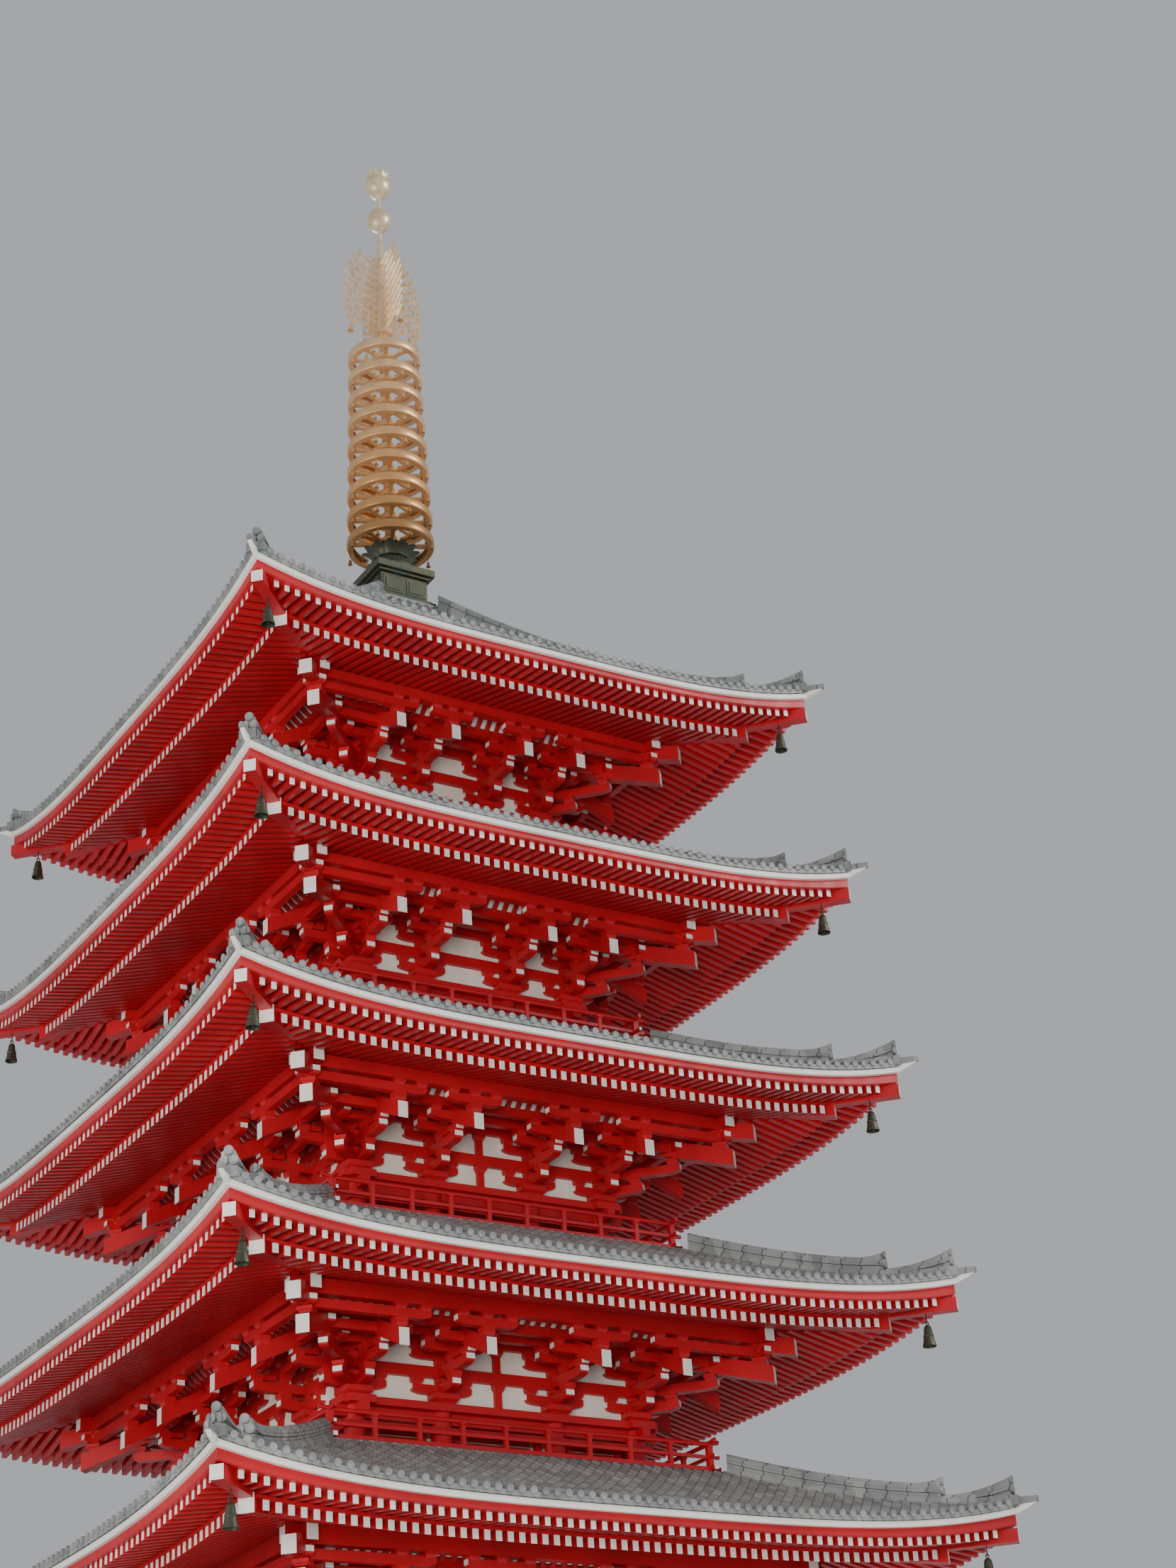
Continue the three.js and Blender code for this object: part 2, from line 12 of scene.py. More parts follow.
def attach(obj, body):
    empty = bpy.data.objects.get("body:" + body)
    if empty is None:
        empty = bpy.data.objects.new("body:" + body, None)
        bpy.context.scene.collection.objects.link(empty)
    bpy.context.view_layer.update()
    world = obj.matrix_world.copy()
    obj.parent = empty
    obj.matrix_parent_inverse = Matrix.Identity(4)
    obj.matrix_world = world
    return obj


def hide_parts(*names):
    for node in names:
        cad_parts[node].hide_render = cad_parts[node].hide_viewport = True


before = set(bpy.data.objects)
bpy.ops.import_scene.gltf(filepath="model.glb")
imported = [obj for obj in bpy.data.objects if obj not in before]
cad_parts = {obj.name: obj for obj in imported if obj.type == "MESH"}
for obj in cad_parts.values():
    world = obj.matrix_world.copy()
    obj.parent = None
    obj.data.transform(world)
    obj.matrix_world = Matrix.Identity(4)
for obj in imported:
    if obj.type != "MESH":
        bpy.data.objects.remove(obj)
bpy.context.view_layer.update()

MODEL_SCALE = 0.5
ROOT_2 = math.sqrt(2)
QUARTER = math.pi / 2
FULL_TURN = 2 * math.pi
OUTWARD = Matrix.Rotation(QUARTER, 4, "Z")
UPRIGHT = Matrix.Rotation(QUARTER, 4, "X")
FACE_OUT = Matrix.Rotation(-QUARTER, 4, "X")

# Driving sizes of the five storeys, from the ground storey up
EAVE_HALF = (9.0, 8.55, 8.084, 7.673, 7.301)
EAVE_CORNER_HEIGHT = (8.97, 13.93, 18.89, 23.82, 28.71)
WALL_HALF = (3.68, 3.36, 3.05, 2.72, 2.39)
CENTRE_BAY_SHARE = 0.405
EAVE_SAG = 0.63
SAG_POWER = 3.6
PLINTH_HEIGHT, PODIUM_HEIGHT = 0.3, 1.5
BALCONY_FLOOR = 1.62
ROOF_RISE, TOP_ROOF_RISE = 1.5, 4.5
ROOF_INNER, TOP_ROOF_INNER = 1.45, 0.78
ROOF_SLOPE, TOP_ROOF_SLOPE = 0.36, 0.42

# Heights in a storey, below the corner of its eave
PLATE_TOP = -2.14
PLATE_HEIGHT = 0.16
LOWER_TIE = (-1.57, -1.33)
UPPER_TIE = (-0.82, -0.60)
PURLIN_SEAT = -0.76

# Eaves, inward from the eave's edge and up from its middle
BASE_END, BASE_UNDERSIDE, BASE_SLOPE = 1.1, -0.38, 0.28
FLYING_END, FLYING_UNDERSIDE, FLYING_SLOPE = 0.2, -0.267, 0.17
LAST_FLYING, LAST_BASE = 0.6, 1.5
RAFTER_PITCH = 0.248
BASE_RAFTER = (0.13, 0.19)
FLYING_RAFTER = (0.115, 0.155)
FASCIA = (-0.113, 0.04)
FASCIA_GROWTH = 0.12
BOARD_TOP = 0.16
TILE_OVERHANG = 0.05
TILE_EDGE = 0.285
TILE_PITCH = 0.25
TILE_RADIUS = 0.07
TILE_LENGTH = 0.3
EAVE_STOPS = 32

# Doors, windows and rails: from a column's middle to the opening beside it, and up from a storey's floor
JAMB = 0.42
FOOT_RAIL_TOP = 0.18
GROUND_OPENING_TOP = 3.1

# Materials of a piece of joinery, by number
PAINT, WHITE, PLASTER, METAL = 0, 1, 2, 3


class Storey:
    def __init__(self, index):
        last = len(WALL_HALF) - 1
        self.number = index + 1
        self.is_top = index == last
        self.eave = EAVE_HALF[index]
        self.corner = EAVE_CORNER_HEIGHT[index]
        self.wall = WALL_HALF[index]
        self.bay = self.wall * CENTRE_BAY_SHARE
        self.middle = self.corner - EAVE_SAG
        self.plate = self.corner + PLATE_TOP
        self.floor = EAVE_CORNER_HEIGHT[index - 1] + BALCONY_FLOOR if index else PODIUM_HEIGHT
        self.roof_inner = TOP_ROOF_INNER if self.is_top else WALL_HALF[index + 1] + ROOF_INNER
        self.roof_top = self.corner + (TOP_ROOF_RISE if self.is_top else ROOF_RISE)
        self.slope = TOP_ROOF_SLOPE if self.is_top else ROOF_SLOPE
        self.arm = 0.17 * self.wall
        self.lift_start = self.wall + 0.5
        self.columns = (-self.wall, -self.bay, self.bay, self.wall)
        self.door_half = self.bay - JAMB
        self.window_half = (self.wall - self.bay) / 2 - JAMB
        self.window_centre = (self.wall + self.bay) / 2
        self.opening_top = self.plate - 0.62 if index else self.floor + GROUND_OPENING_TOP

    def lift(self, x, d):
        """How far a corner raises a point of the eaves, x along its side and d from the axis."""
        fade = (d - self.lift_start) / (self.eave - self.lift_start)
        return EAVE_SAG * min(1, max(0, fade)) * abs(x / self.eave) ** SAG_POWER

    def flying_lift(self, x, d):
        """The same for the flying rafters, which rise less, so that the fascia grows at the corners."""
        out = (d - self.eave + BASE_END) / BASE_END
        return self.lift(x, d) * (1 - FASCIA_GROWTH * min(1, max(0, out)))

    def base_underside(self, d):
        return self.middle + BASE_UNDERSIDE + BASE_SLOPE * (self.eave - BASE_END - d)

    def flying_underside(self, d):
        return self.middle + FLYING_UNDERSIDE + FLYING_SLOPE * (self.eave - FLYING_END - d)

    def tiles(self, d):
        """Height of the tiles at the middle of a side."""
        edge = self.middle + TILE_EDGE
        run = self.eave - self.roof_inner
        bend = (self.roof_top - edge - self.slope * run) / run ** 2
        reach = self.eave - d
        return edge + self.slope * reach + bend * reach * max(0, reach)


STOREYS = [Storey(index) for index in range(len(WALL_HALF))]


# Working a bmesh

def turns(count, offset=0.0):
    """Turns about the tower's axis, spaced evenly round it."""
    return [Matrix.Rotation(FULL_TURN * (i + offset) / count, 4, "Z") for i in range(count)]


CORNER_TURNS = turns(4, -0.5)


def at(x, y, z):
    return Matrix.Translation((x, y, z))


def sized(x, y, z):
    return Matrix.Diagonal((x, y, z, 1))


def about(middle, half):
    """A range with its middle and half its width."""
    return (middle - half, middle + half)


def stock(bm):
    """A finished bmesh as a mesh that is placed many times."""
    mesh = bpy.data.meshes.new("stock")
    bm.to_mesh(mesh)
    bm.free()
    return mesh


def place(target, mesh, matrix=Matrix()):
    copy = mesh.copy()
    copy.transform(matrix)
    target.from_mesh(copy)
    bpy.data.meshes.remove(copy)


def normals_out(bm):
    bmesh.ops.recalc_face_normals(bm, faces=bm.faces)


def weld(bm, reach=1e-5):
    bmesh.ops.remove_doubles(bm, verts=bm.verts, dist=reach)


def corners_of(made):
    return [part for part in made["geom"] if isinstance(part, bmesh.types.BMVert)]


def faces_of(made):
    return [part for part in made["geom"] if isinstance(part, bmesh.types.BMFace)]


def cube(material=PAINT, outer_end=None, both_ends=None):
    """A cube one metre wide that stands on z = 0. Its outer end faces +Y, and both its ends +X and -X."""
    bm = bmesh.new()
    bmesh.ops.create_cube(bm, size=1, matrix=at(0, 0, 0.5))
    for face in bm.faces:
        face.material_index = material
        if outer_end is not None and face.normal.y > 0.5:
            face.material_index = outer_end
        if both_ends is not None and abs(face.normal.x) > 0.5:
            face.material_index = both_ends
    return stock(bm)


CUBES = {material: cube(material) for material in (PAINT, WHITE, PLASTER, METAL)}
RAFTER_CUBE = cube(PAINT, outer_end=WHITE)
BEAM_CUBE = cube(PAINT, both_ends=WHITE)


def rect(near, far, low, high):
    """The outline of a rectangle, along its foot and back along its top."""
    return [(near, low), (far, low), (far, high), (near, high)]


def box(target, xs, ys, zs, mesh=CUBES[PAINT]):
    """A block between the low and high ends of its three ranges."""
    foot = at((xs[0] + xs[1]) / 2, (ys[0] + ys[1]) / 2, zs[0])
    place(target, mesh, foot @ sized(xs[1] - xs[0], ys[1] - ys[0], zs[1] - zs[0]))


def bar(target, x, start, end, width, depth, mesh=RAFTER_CUBE, turn=Matrix()):
    """A bar that runs outward in the plane of x, between the (distance, height) ends of its underside."""
    (d0, z0), (d1, z1) = start, end
    lean = Matrix((
        (width, 0, 0, x),
        (0, d1 - d0, 0, (d0 + d1) / 2),
        (0, z1 - z0, depth, (z0 + z1) / 2),
        (0, 0, 0, 1),
    ))
    place(target, mesh, turn @ lean)


def slab(outline, thickness, end_material=PAINT):
    """An outline of (x, z) with a thickness across it, and its upright ends in their own paint."""
    bm = bmesh.new()
    face = bm.faces.new([bm.verts.new((x, -thickness / 2, z)) for x, z in outline])
    made = bmesh.ops.extrude_face_region(bm, geom=[face])
    bmesh.ops.translate(bm, vec=(0, thickness, 0), verts=corners_of(made))
    normals_out(bm)
    for side in bm.faces:
        if abs(side.normal.x) > 0.95:
            side.material_index = end_material
    return stock(bm)


def spun(profile, segments):
    """A turned piece from a profile of (radius, height) that starts and ends on the axis or on itself."""
    bm = bmesh.new()
    points = [bm.verts.new((r, 0, z)) for r, z in profile]
    edges = [bm.edges.new(pair) for pair in zip(points, points[1:])]
    bmesh.ops.spin(bm, geom=points + edges, cent=(0, 0, 0), axis=(0, 0, 1), angle=FULL_TURN,
                   steps=segments, use_merge=True)
    weld(bm)
    normals_out(bm)
    return bm


def torus(target, centre, radius, thickness, turn=Matrix(), segments=12):
    outline = arc((radius, 0), (thickness, thickness), 0, 360, 6)
    place(target, stock(spun(outline, segments)), Matrix.Translation(centre) @ turn)


def cone(segments, foot, top, length):
    """A round bar on end about the middle of its length."""
    bm = bmesh.new()
    bmesh.ops.create_cone(bm, cap_ends=True, segments=segments, radius1=foot, radius2=top, depth=length)
    return bm


def rod(target, start, end, radius, segments=6, end_radius=None):
    """A round rod between two points."""
    start, end = Vector(start), Vector(end)
    run = end - start
    bm = cone(segments, radius, radius if end_radius is None else end_radius, run.length)
    turn = run.to_track_quat("Z", "Y").to_matrix().to_4x4()
    place(target, stock(bm), Matrix.Translation((start + end) / 2) @ turn)


def sweep(target, section, stations, turn):
    """A section of (across, up) carried through stations of (distance, height, size), outward along +Y."""
    bm = bmesh.new()
    d, z, size = stations[0]
    face = bm.faces.new([bm.verts.new((across * size, d, z + up * size)) for across, up in section])
    for (d, z, size), (d2, z2, size2) in zip(stations, stations[1:]):
        made = bmesh.ops.extrude_face_region(bm, geom=[face])
        face = faces_of(made)[0]
        for corner in corners_of(made):
            across, up = corner.co.x / size, (corner.co.z - z) / size
            corner.co = (across * size2, d2, z2 + up * size2)
    normals_out(bm)
    place(target, stock(bm), turn)


def ring(target, outline, stops=1, lift=lambda x, d: 0, material=PAINT):
    """A closed outline of (distance out, height) carried round a square, in stops along each side."""
    loop = outline + outline[:1]
    last = len(loop) - 1
    side = bmesh.new()
    bmesh.ops.create_grid(side, x_segments=stops, y_segments=last, size=1)
    for corner in side.verts:
        share = corner.co.x
        d, z = loop[round((corner.co.y + 1) / 2 * last)]
        corner.co = (share * d, d, z + lift(share * d, d))
    for face in side.faces:
        face.material_index = material
    weld(side)
    whole = four_sides(side)
    weld(whole, 1e-4)
    normals_out(whole)
    place(target, stock(whole))


def four_sides(side):
    """The side that faces +Y, carried round the tower."""
    mesh = stock(side)
    whole = bmesh.new()
    for turn in turns(4):
        place(whole, mesh, turn)
    return whole


def spread(reach, pitch):
    """Places from -reach to reach, about a pitch apart."""
    count = max(1, round(2 * reach / pitch))
    return [-reach + 2 * reach * i / count for i in range(count + 1)]


def lengths(start, end, length):
    """Ranges of about a length each, from start to end."""
    middle = (start + end) / 2
    marks = [middle + x for x in spread((end - start) / 2, length)]
    return list(zip(marks, marks[1:]))


def arc(centre, radii, start, end, steps):
    """Points on an arc of an ellipse, with its angles in degrees."""
    angles = [math.radians(start + (end - start) * i / steps) for i in range(steps + 1)]
    return [(centre[0] + radii[0] * math.cos(a), centre[1] + radii[1] * math.sin(a)) for a in angles]


def added(name, data):
    """A new object in the scene."""
    made = bpy.data.objects.new(name, data)
    bpy.context.scene.collection.objects.link(made)
    return made


def piece(name, bm, materials, slot, *nodes, smooth=None):
    """Scales a bmesh to the model, hands it its finishes and stands it for the nodes it replaces."""
    bmesh.ops.scale(bm, vec=(MODEL_SCALE,) * 3, verts=bm.verts)
    mesh = bpy.data.meshes.new(name)
    bm.to_mesh(mesh)
    bm.free()
    for material in materials:
        mesh.materials.append(material)
    if smooth:
        mesh.shade_smooth()
        mesh.set_sharp_from_angle(angle=math.radians(smooth))
    made = added(name, mesh)
    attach(made, "root")
    if nodes:
        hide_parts(*nodes)


# Finishes

class Finish:
    """A node material with a Principled shader, and short ways to add and join nodes."""

    def __init__(self, name):
        self.material = bpy.data.materials.new(name)
        self.material.use_nodes = True
        self.tree = self.material.node_tree
        self.shader = self.tree.nodes["Principled BSDF"]
        self.place = self.add("ShaderNodeTexCoord").outputs["Object"]

    def add(self, kind, **settings):
        node = self.tree.nodes.new(kind)
        for name, value in settings.items():
            setattr(node, name, value)
        return node

    def join(self, source, target):
        self.tree.links.new(source, target)

    def fixed(self, **values):
        for name, value in values.items():
            self.shader.inputs[name.replace("_", " ")].default_value = value

    def group(self, tree, **values):
        node = self.add("ShaderNodeGroup", node_tree=tree)
        for name, value in values.items():
            node.inputs[name].default_value = value
        self.join(self.place, node.inputs["Place"])
        return node

    def noise(self, scale, detail=3.0, roughness=0.55, stretch=None):
        node = self.add("ShaderNodeTexNoise")
        node.inputs["Scale"].default_value = scale
        node.inputs["Detail"].default_value = detail
        node.inputs["Roughness"].default_value = roughness
        source = self.place
        if stretch:
            mapping = self.add("ShaderNodeMapping")
            mapping.inputs["Scale"].default_value = stretch
            self.join(self.place, mapping.inputs["Vector"])
            source = mapping.outputs["Vector"]
        self.join(source, node.inputs["Vector"])
        return node.outputs["Fac"]

    def ramp(self, source, *stops):
        node = self.add("ShaderNodeValToRGB")
        elements = node.color_ramp.elements
        while len(elements) < len(stops):
            elements.new(0.5)
        for element, (position, colour) in zip(elements, stops):
            element.position = position
            element.color = (*colour, 1)
        self.join(source, node.inputs["Fac"])
        return node.outputs["Color"]

    def span(self, source, low, high):
        """A value from 0 to 1 as one between low and high."""
        node = self.add("ShaderNodeMapRange")
        node.inputs["To Min"].default_value = low
        node.inputs["To Max"].default_value = high
        self.join(source, node.inputs["Value"])
        return node.outputs["Result"]

    def math(self, operation, a, b=None):
        node = self.add("ShaderNodeMath", operation=operation)
        for socket, value in zip(node.inputs, (a, b)):
            if isinstance(value, (int, float)):
                socket.default_value = value
            elif value is not None:
                self.join(value, socket)
        return node.outputs["Value"]

    def mix(self, share, a, b, blend="MIX"):
        node = self.add("ShaderNodeMix", data_type="RGBA", blend_type=blend)
        for socket, value in ((node.inputs[0], share), (node.inputs[6], a), (node.inputs[7], b)):
            if isinstance(value, tuple):
                socket.default_value = (*value, 1)
            elif isinstance(value, (int, float)):
                socket.default_value = value
            else:
                self.join(value, socket)
        return node.outputs[2]

    def laid(self, weather, kind, share, under, over):
        """A colour over another, up to a share where the weather's clouds, streaks or grain lie."""
        return self.mix(self.span(weather.outputs[kind], 0, share), under, over)

    def bump(self, height, distance, strength=1.0, normal=None):
        node = self.add("ShaderNodeBump")
        node.inputs["Distance"].default_value = distance
        node.inputs["Strength"].default_value = strength
        self.join(height, node.inputs["Height"])
        if normal is not None:
            self.join(normal, node.inputs["Normal"])
        return node.outputs["Normal"]

    def finish(self, colour, roughness=None, normal=None):
        self.join(colour, self.shader.inputs["Base Color"])
        if roughness is not None:
            self.join(roughness, self.shader.inputs["Roughness"])
        if normal is not None:
            self.join(normal, self.shader.inputs["Normal"])
        return self.material


def weather_group():
    """Dust, rain streaks and a fine grain, shared by the finishes."""
    tree = bpy.data.node_groups.new("weather", "ShaderNodeTree")
    face = tree.interface
    face.new_socket("Place", in_out="INPUT", socket_type="NodeSocketVector")
    for name, value in (("Cloud Scale", 1.5), ("Streak Scale", 6.0), ("Grain Scale", 90.0)):
        face.new_socket(name, in_out="INPUT", socket_type="NodeSocketFloat").default_value = value
    for name in ("Cloud", "Streak", "Grain"):
        face.new_socket(name, in_out="OUTPUT", socket_type="NodeSocketFloat")
    ends = tree.nodes.new("NodeGroupInput"), tree.nodes.new("NodeGroupOutput")
    stretches = {"Cloud": (1, 1, 1), "Streak": (1, 1, 0.08), "Grain": (1, 1, 1)}
    for name, stretch in stretches.items():
        mapping = tree.nodes.new("ShaderNodeMapping")
        mapping.inputs["Scale"].default_value = stretch
        noise = tree.nodes.new("ShaderNodeTexNoise")
        noise.inputs["Detail"].default_value = 4
        contrast = tree.nodes.new("ShaderNodeMapRange")
        contrast.inputs["From Min"].default_value = 0.3
        contrast.inputs["From Max"].default_value = 0.7
        tree.links.new(ends[0].outputs["Place"], mapping.inputs["Vector"])
        tree.links.new(mapping.outputs["Vector"], noise.inputs["Vector"])
        tree.links.new(ends[0].outputs[f"{name} Scale"], noise.inputs["Scale"])
        tree.links.new(noise.outputs["Fac"], contrast.inputs["Value"])
        tree.links.new(contrast.outputs["Result"], ends[1].inputs[name])
    return tree


WEATHER = weather_group()


def painted(name, fresh, worn, dust, roughness, coat):
    """Brushed paint on timber: slow changes of tone, rain streaks, dust and a faint grain."""
    f = Finish(name)
    weather = f.group(WEATHER)
    tone = f.mix(weather.outputs["Cloud"], fresh, worn)
    streaked = f.laid(weather, "Streak", 0.35, tone, worn)
    dusty = f.laid(weather, "Grain", 0.12, streaked, dust)
    f.fixed(Coat_Weight=coat, Coat_Roughness=0.3, Specular_IOR_Level=0.3)
    rough = f.span(weather.outputs["Streak"], roughness, roughness + 0.18)
    grain = f.noise(60, 4, 0.6, stretch=(1, 1, 0.25))
    return f.finish(dusty, rough, f.bump(grain, 0.002, 0.35))


def plaster_finish():
    f = Finish("plaster")
    weather = f.group(WEATHER)
    tone = f.mix(weather.outputs["Cloud"], (0.83, 0.79, 0.72), (0.74, 0.69, 0.61))
    streaked = f.laid(weather, "Streak", 0.3, tone, (0.52, 0.46, 0.39))
    trowel = f.noise(14, 5, 0.65)
    return f.finish(streaked, f.span(weather.outputs["Grain"], 0.78, 0.92), f.bump(trowel, 0.004, 0.4))


def tile_finish():
    """Grey roof tiles: each has its own tone, with a joint every tile's length up the slope."""
    f = Finish("roof_tile")
    split = f.add("ShaderNodeSeparateXYZ")
    f.join(f.place, split.inputs["Vector"])
    x, y = f.math("ABSOLUTE", split.outputs["X"]), f.math("ABSOLUTE", split.outputs["Y"])
    outward, along = f.math("MAXIMUM", x, y), f.math("MINIMUM", x, y)
    course = f.math("DIVIDE", outward, TILE_LENGTH * MODEL_SCALE)
    row = f.math("DIVIDE", along, TILE_PITCH * MODEL_SCALE)
    cell = f.add("ShaderNodeCombineXYZ")
    for socket, value in zip(cell.inputs, (course, row, split.outputs["Z"])):
        f.join(f.math("FLOOR", value), socket)
    own = f.add("ShaderNodeTexWhiteNoise", noise_dimensions="3D")
    f.join(cell.outputs["Vector"], own.inputs["Vector"])
    weather = f.group(WEATHER)
    tone = f.mix(own.outputs["Value"], (0.19, 0.205, 0.205), (0.33, 0.345, 0.335))
    clouded = f.laid(weather, "Cloud", 0.5, tone, (0.12, 0.13, 0.125))
    lichen = f.ramp(f.noise(9, 6, 0.7), (0.55, (0, 0, 0)), (0.72, (1, 1, 1)))
    grown = f.mix(f.math("MULTIPLY", lichen, 0.35), clouded, (0.36, 0.37, 0.30))
    joint = f.ramp(f.math("FRACT", course), (0.0, (0, 0, 0)), (0.07, (1, 1, 1)))
    dark = f.mix(joint, (0.05, 0.055, 0.055), grown)
    normal = f.bump(joint, 0.012, 0.8, f.bump(weather.outputs["Grain"], 0.002, 0.4))
    f.fixed(Coat_Weight=0.12, Coat_Roughness=0.4)
    return f.finish(dark, f.span(own.outputs["Value"], 0.42, 0.62), normal)


def granite_finish():
    f = Finish("granite")
    weather = f.group(WEATHER, **{"Grain Scale": 160})
    cells = f.add("ShaderNodeTexVoronoi")
    cells.inputs["Scale"].default_value = 120
    f.join(f.place, cells.inputs["Vector"])
    speck = f.ramp(cells.outputs["Color"], (0.2, (0.11, 0.11, 0.11)), (0.45, (0.42, 0.40, 0.37)),
                   (0.8, (0.62, 0.60, 0.57)))
    tone = f.mix(f.span(weather.outputs["Cloud"], 0.1, 0.55), speck, (0.36, 0.34, 0.31))
    streaked = f.laid(weather, "Streak", 0.35, tone, (0.17, 0.16, 0.14))
    return f.finish(streaked, f.span(weather.outputs["Grain"], 0.65, 0.9),
                    f.bump(weather.outputs["Grain"], 0.003, 0.5))


def bronze_finish(name, metal, patina, patina_share, roughness):
    """Cast bronze with patches of patina and runs of it down the sides."""
    f = Finish(name)
    weather = f.group(WEATHER, **{"Cloud Scale": 5.0, "Streak Scale": 14.0})
    grown = f.math("MAXIMUM", weather.outputs["Cloud"], weather.outputs["Streak"])
    share = f.math("MULTIPLY", grown, patina_share)
    colour = f.mix(share, metal, patina)
    f.join(f.span(share, 1.0, 0.45), f.shader.inputs["Metallic"])
    cast = f.noise(45, 4, 0.6)
    return f.finish(colour, f.span(weather.outputs["Cloud"], roughness, roughness + 0.25),
                    f.bump(cast, 0.003, 0.4))


def gilt_finish():
    """Gilded bronze graded by height: pale at the top of the finial, orange in its middle and dark at its
    foot. The pale top is painted light and the dark foot is painted shade.
    """
    f = Finish("gilt_bronze")
    split = f.add("ShaderNodeSeparateXYZ")
    f.join(f.place, split.inputs["Vector"])
    height = f.add("ShaderNodeMapRange")
    for end, level in (("From Min", 35.0), ("From Max", 47.5)):
        height.inputs[end].default_value = level * MODEL_SCALE
    f.join(split.outputs["Z"], height.inputs["Value"])
    # The ramp by height is painted light and shade: the pale top stands for light on the finial's tip, the
    # dark foot for shade at its base.
    gold_with_painted_light = f.ramp(height.outputs["Result"], (0.0, (0.36, 0.18, 0.06)), (0.14, (0.74, 0.40, 0.16)),
                  (0.5, (0.88, 0.58, 0.32)), (0.75, (0.92, 0.70, 0.47)), (1.0, (0.93, 0.78, 0.52)))
    weather = f.group(WEATHER, **{"Cloud Scale": 6.0, "Streak Scale": 16.0})
    worn = f.laid(weather, "Cloud", 0.35, gold_with_painted_light, (0.36, 0.19, 0.08))
    f.fixed(Metallic=0.55)
    return f.finish(worn, f.span(weather.outputs["Streak"], 0.28, 0.48),
                    f.bump(f.noise(50, 3), 0.002, 0.3))


VERMILION = painted("vermilion_paint", (0.56, 0.010, 0.019), (0.39, 0.007, 0.013), (0.30, 0.09, 0.09),
                    roughness=0.36, coat=0.1)
DOOR_PAINT = painted("door_paint", (0.42, 0.020, 0.014), (0.30, 0.014, 0.010), (0.22, 0.10, 0.08),
                     roughness=0.35, coat=0.2)
WHITE_PAINT = painted("white_paint", (0.86, 0.85, 0.81), (0.78, 0.76, 0.70), (0.60, 0.56, 0.50),
                      roughness=0.42, coat=0.1)
PLASTER_WALL = plaster_finish()
ROOF_TILE = tile_finish()
GRANITE = granite_finish()
DARK_BRONZE = bronze_finish("dark_bronze", (0.13, 0.10, 0.06), (0.05, 0.09, 0.07), 0.8, 0.38)
FITTING = bronze_finish("gilt_fitting", (0.80, 0.52, 0.20), (0.35, 0.20, 0.09), 0.5, 0.3)
GILT = gilt_finish()
JOINERY = (VERMILION, WHITE_PAINT, PLASTER_WALL, FITTING)


# Rafters and eaves

def rafters(s):
    side = bmesh.new()
    rows = (
        (LAST_FLYING, s.eave - BASE_END - 0.3, s.eave - FLYING_END,
         s.flying_underside, s.flying_lift, FLYING_RAFTER),
        (LAST_BASE, s.lift_start, s.eave - BASE_END, s.base_underside, s.lift, BASE_RAFTER),
    )
    for last, start, end, underside, lift, size in rows:
        for x in spread(s.eave - last, RAFTER_PITCH):
            inner = max(start, abs(x) + 0.1)
            bar(side, x, *[(d, underside(d) + lift(x, d)) for d in (inner, end)], *size)
    piece(f"rafters_{s.number}", four_sides(side), (VERMILION, WHITE_PAINT), "vermilion_paint")


def hip_bars(bm, end, height, length, rise, width, depth):
    """Hip rafters under the diagonals, with their painted ends standing plumb."""
    start = ((end - length) * ROOT_2, height + rise - depth / 2)
    outer = (end * ROOT_2, height - depth / 2)
    for turn in CORNER_TURNS:
        bar(bm, 0, start, outer, width, depth, turn=turn)


def eaves(s):
    """The soffit, the beam between the rows of rafters, the fascia, the white board and the hip rafters."""
    bm = bmesh.new()
    e, m = s.eave, s.middle

    def over_base(d):
        return s.base_underside(d) + BASE_RAFTER[1]

    def over_flying(d):
        return s.flying_underside(d) + FLYING_RAFTER[1]

    inner, back, lip = s.wall - 0.3, e - BASE_END - 0.14, e - FLYING_END
    soffit = [(inner, over_base(inner)), (back, over_base(back)), (back, over_flying(back)),
              (lip, over_flying(lip)), (lip, m + 0.1), (inner, s.base_underside(inner) + 0.4)]
    ring(bm, soffit, EAVE_STOPS, s.flying_lift)
    beam, foot = e - BASE_END + 0.02, over_base(e - BASE_END)
    between = [(back, foot), (beam, foot),
               (beam, s.flying_underside(beam)), (back, s.flying_underside(back))]
    ring(bm, between, EAVE_STOPS, s.lift)
    low, high = m + FASCIA[0], m + FASCIA[1]
    behind, face, top = e - 0.34, e - 0.09, high + 0.08
    fascia = [(behind, low), (face - 0.02, low), (face, low + 0.02), (face, top), (behind, top)]
    ring(bm, fascia, EAVE_STOPS, s.flying_lift)
    behind, top = e - 0.17, m + BOARD_TOP
    board = [(behind, high), (e - 0.01, high), (e, high + 0.01), (e, top), (behind, top)]
    ring(bm, board, EAVE_STOPS, s.lift, WHITE)
    end, height, bearing = e - 1.124, s.corner - 0.643, s.wall + 0.2
    rise = s.base_underside(bearing) + 0.16 - height
    hip_bars(bm, end, height, length=end - bearing, rise=rise, width=0.31, depth=0.36)
    hip_bars(bm, e - 0.08, s.corner - 0.42, length=2.1, rise=0, width=0.26, depth=0.27)
    beaks(bm, s)
    piece(f"eave_boards_{s.number}", bm, (VERMILION, WHITE_PAINT), "vermilion_paint", f"eaves_{s.number}")


def beaks(bm, s):
    """The white board's corners, which run out to a point under the corner tiles."""
    low, high = s.corner + FASCIA[1] + 0.01, s.corner + BOARD_TOP + 0.04
    outline = ((-0.2, low), (-0.01, low), (0.12, low + 0.07), (0.24, high + 0.02), (0.22, high + 0.03),
               (-0.2, high))
    beak = slab([((s.eave + out) * ROOT_2, z) for out, z in outline], 0.1)
    for face in beak.polygons:
        face.material_index = WHITE
    for turn in CORNER_TURNS:
        place(bm, beak, turn @ OUTWARD)


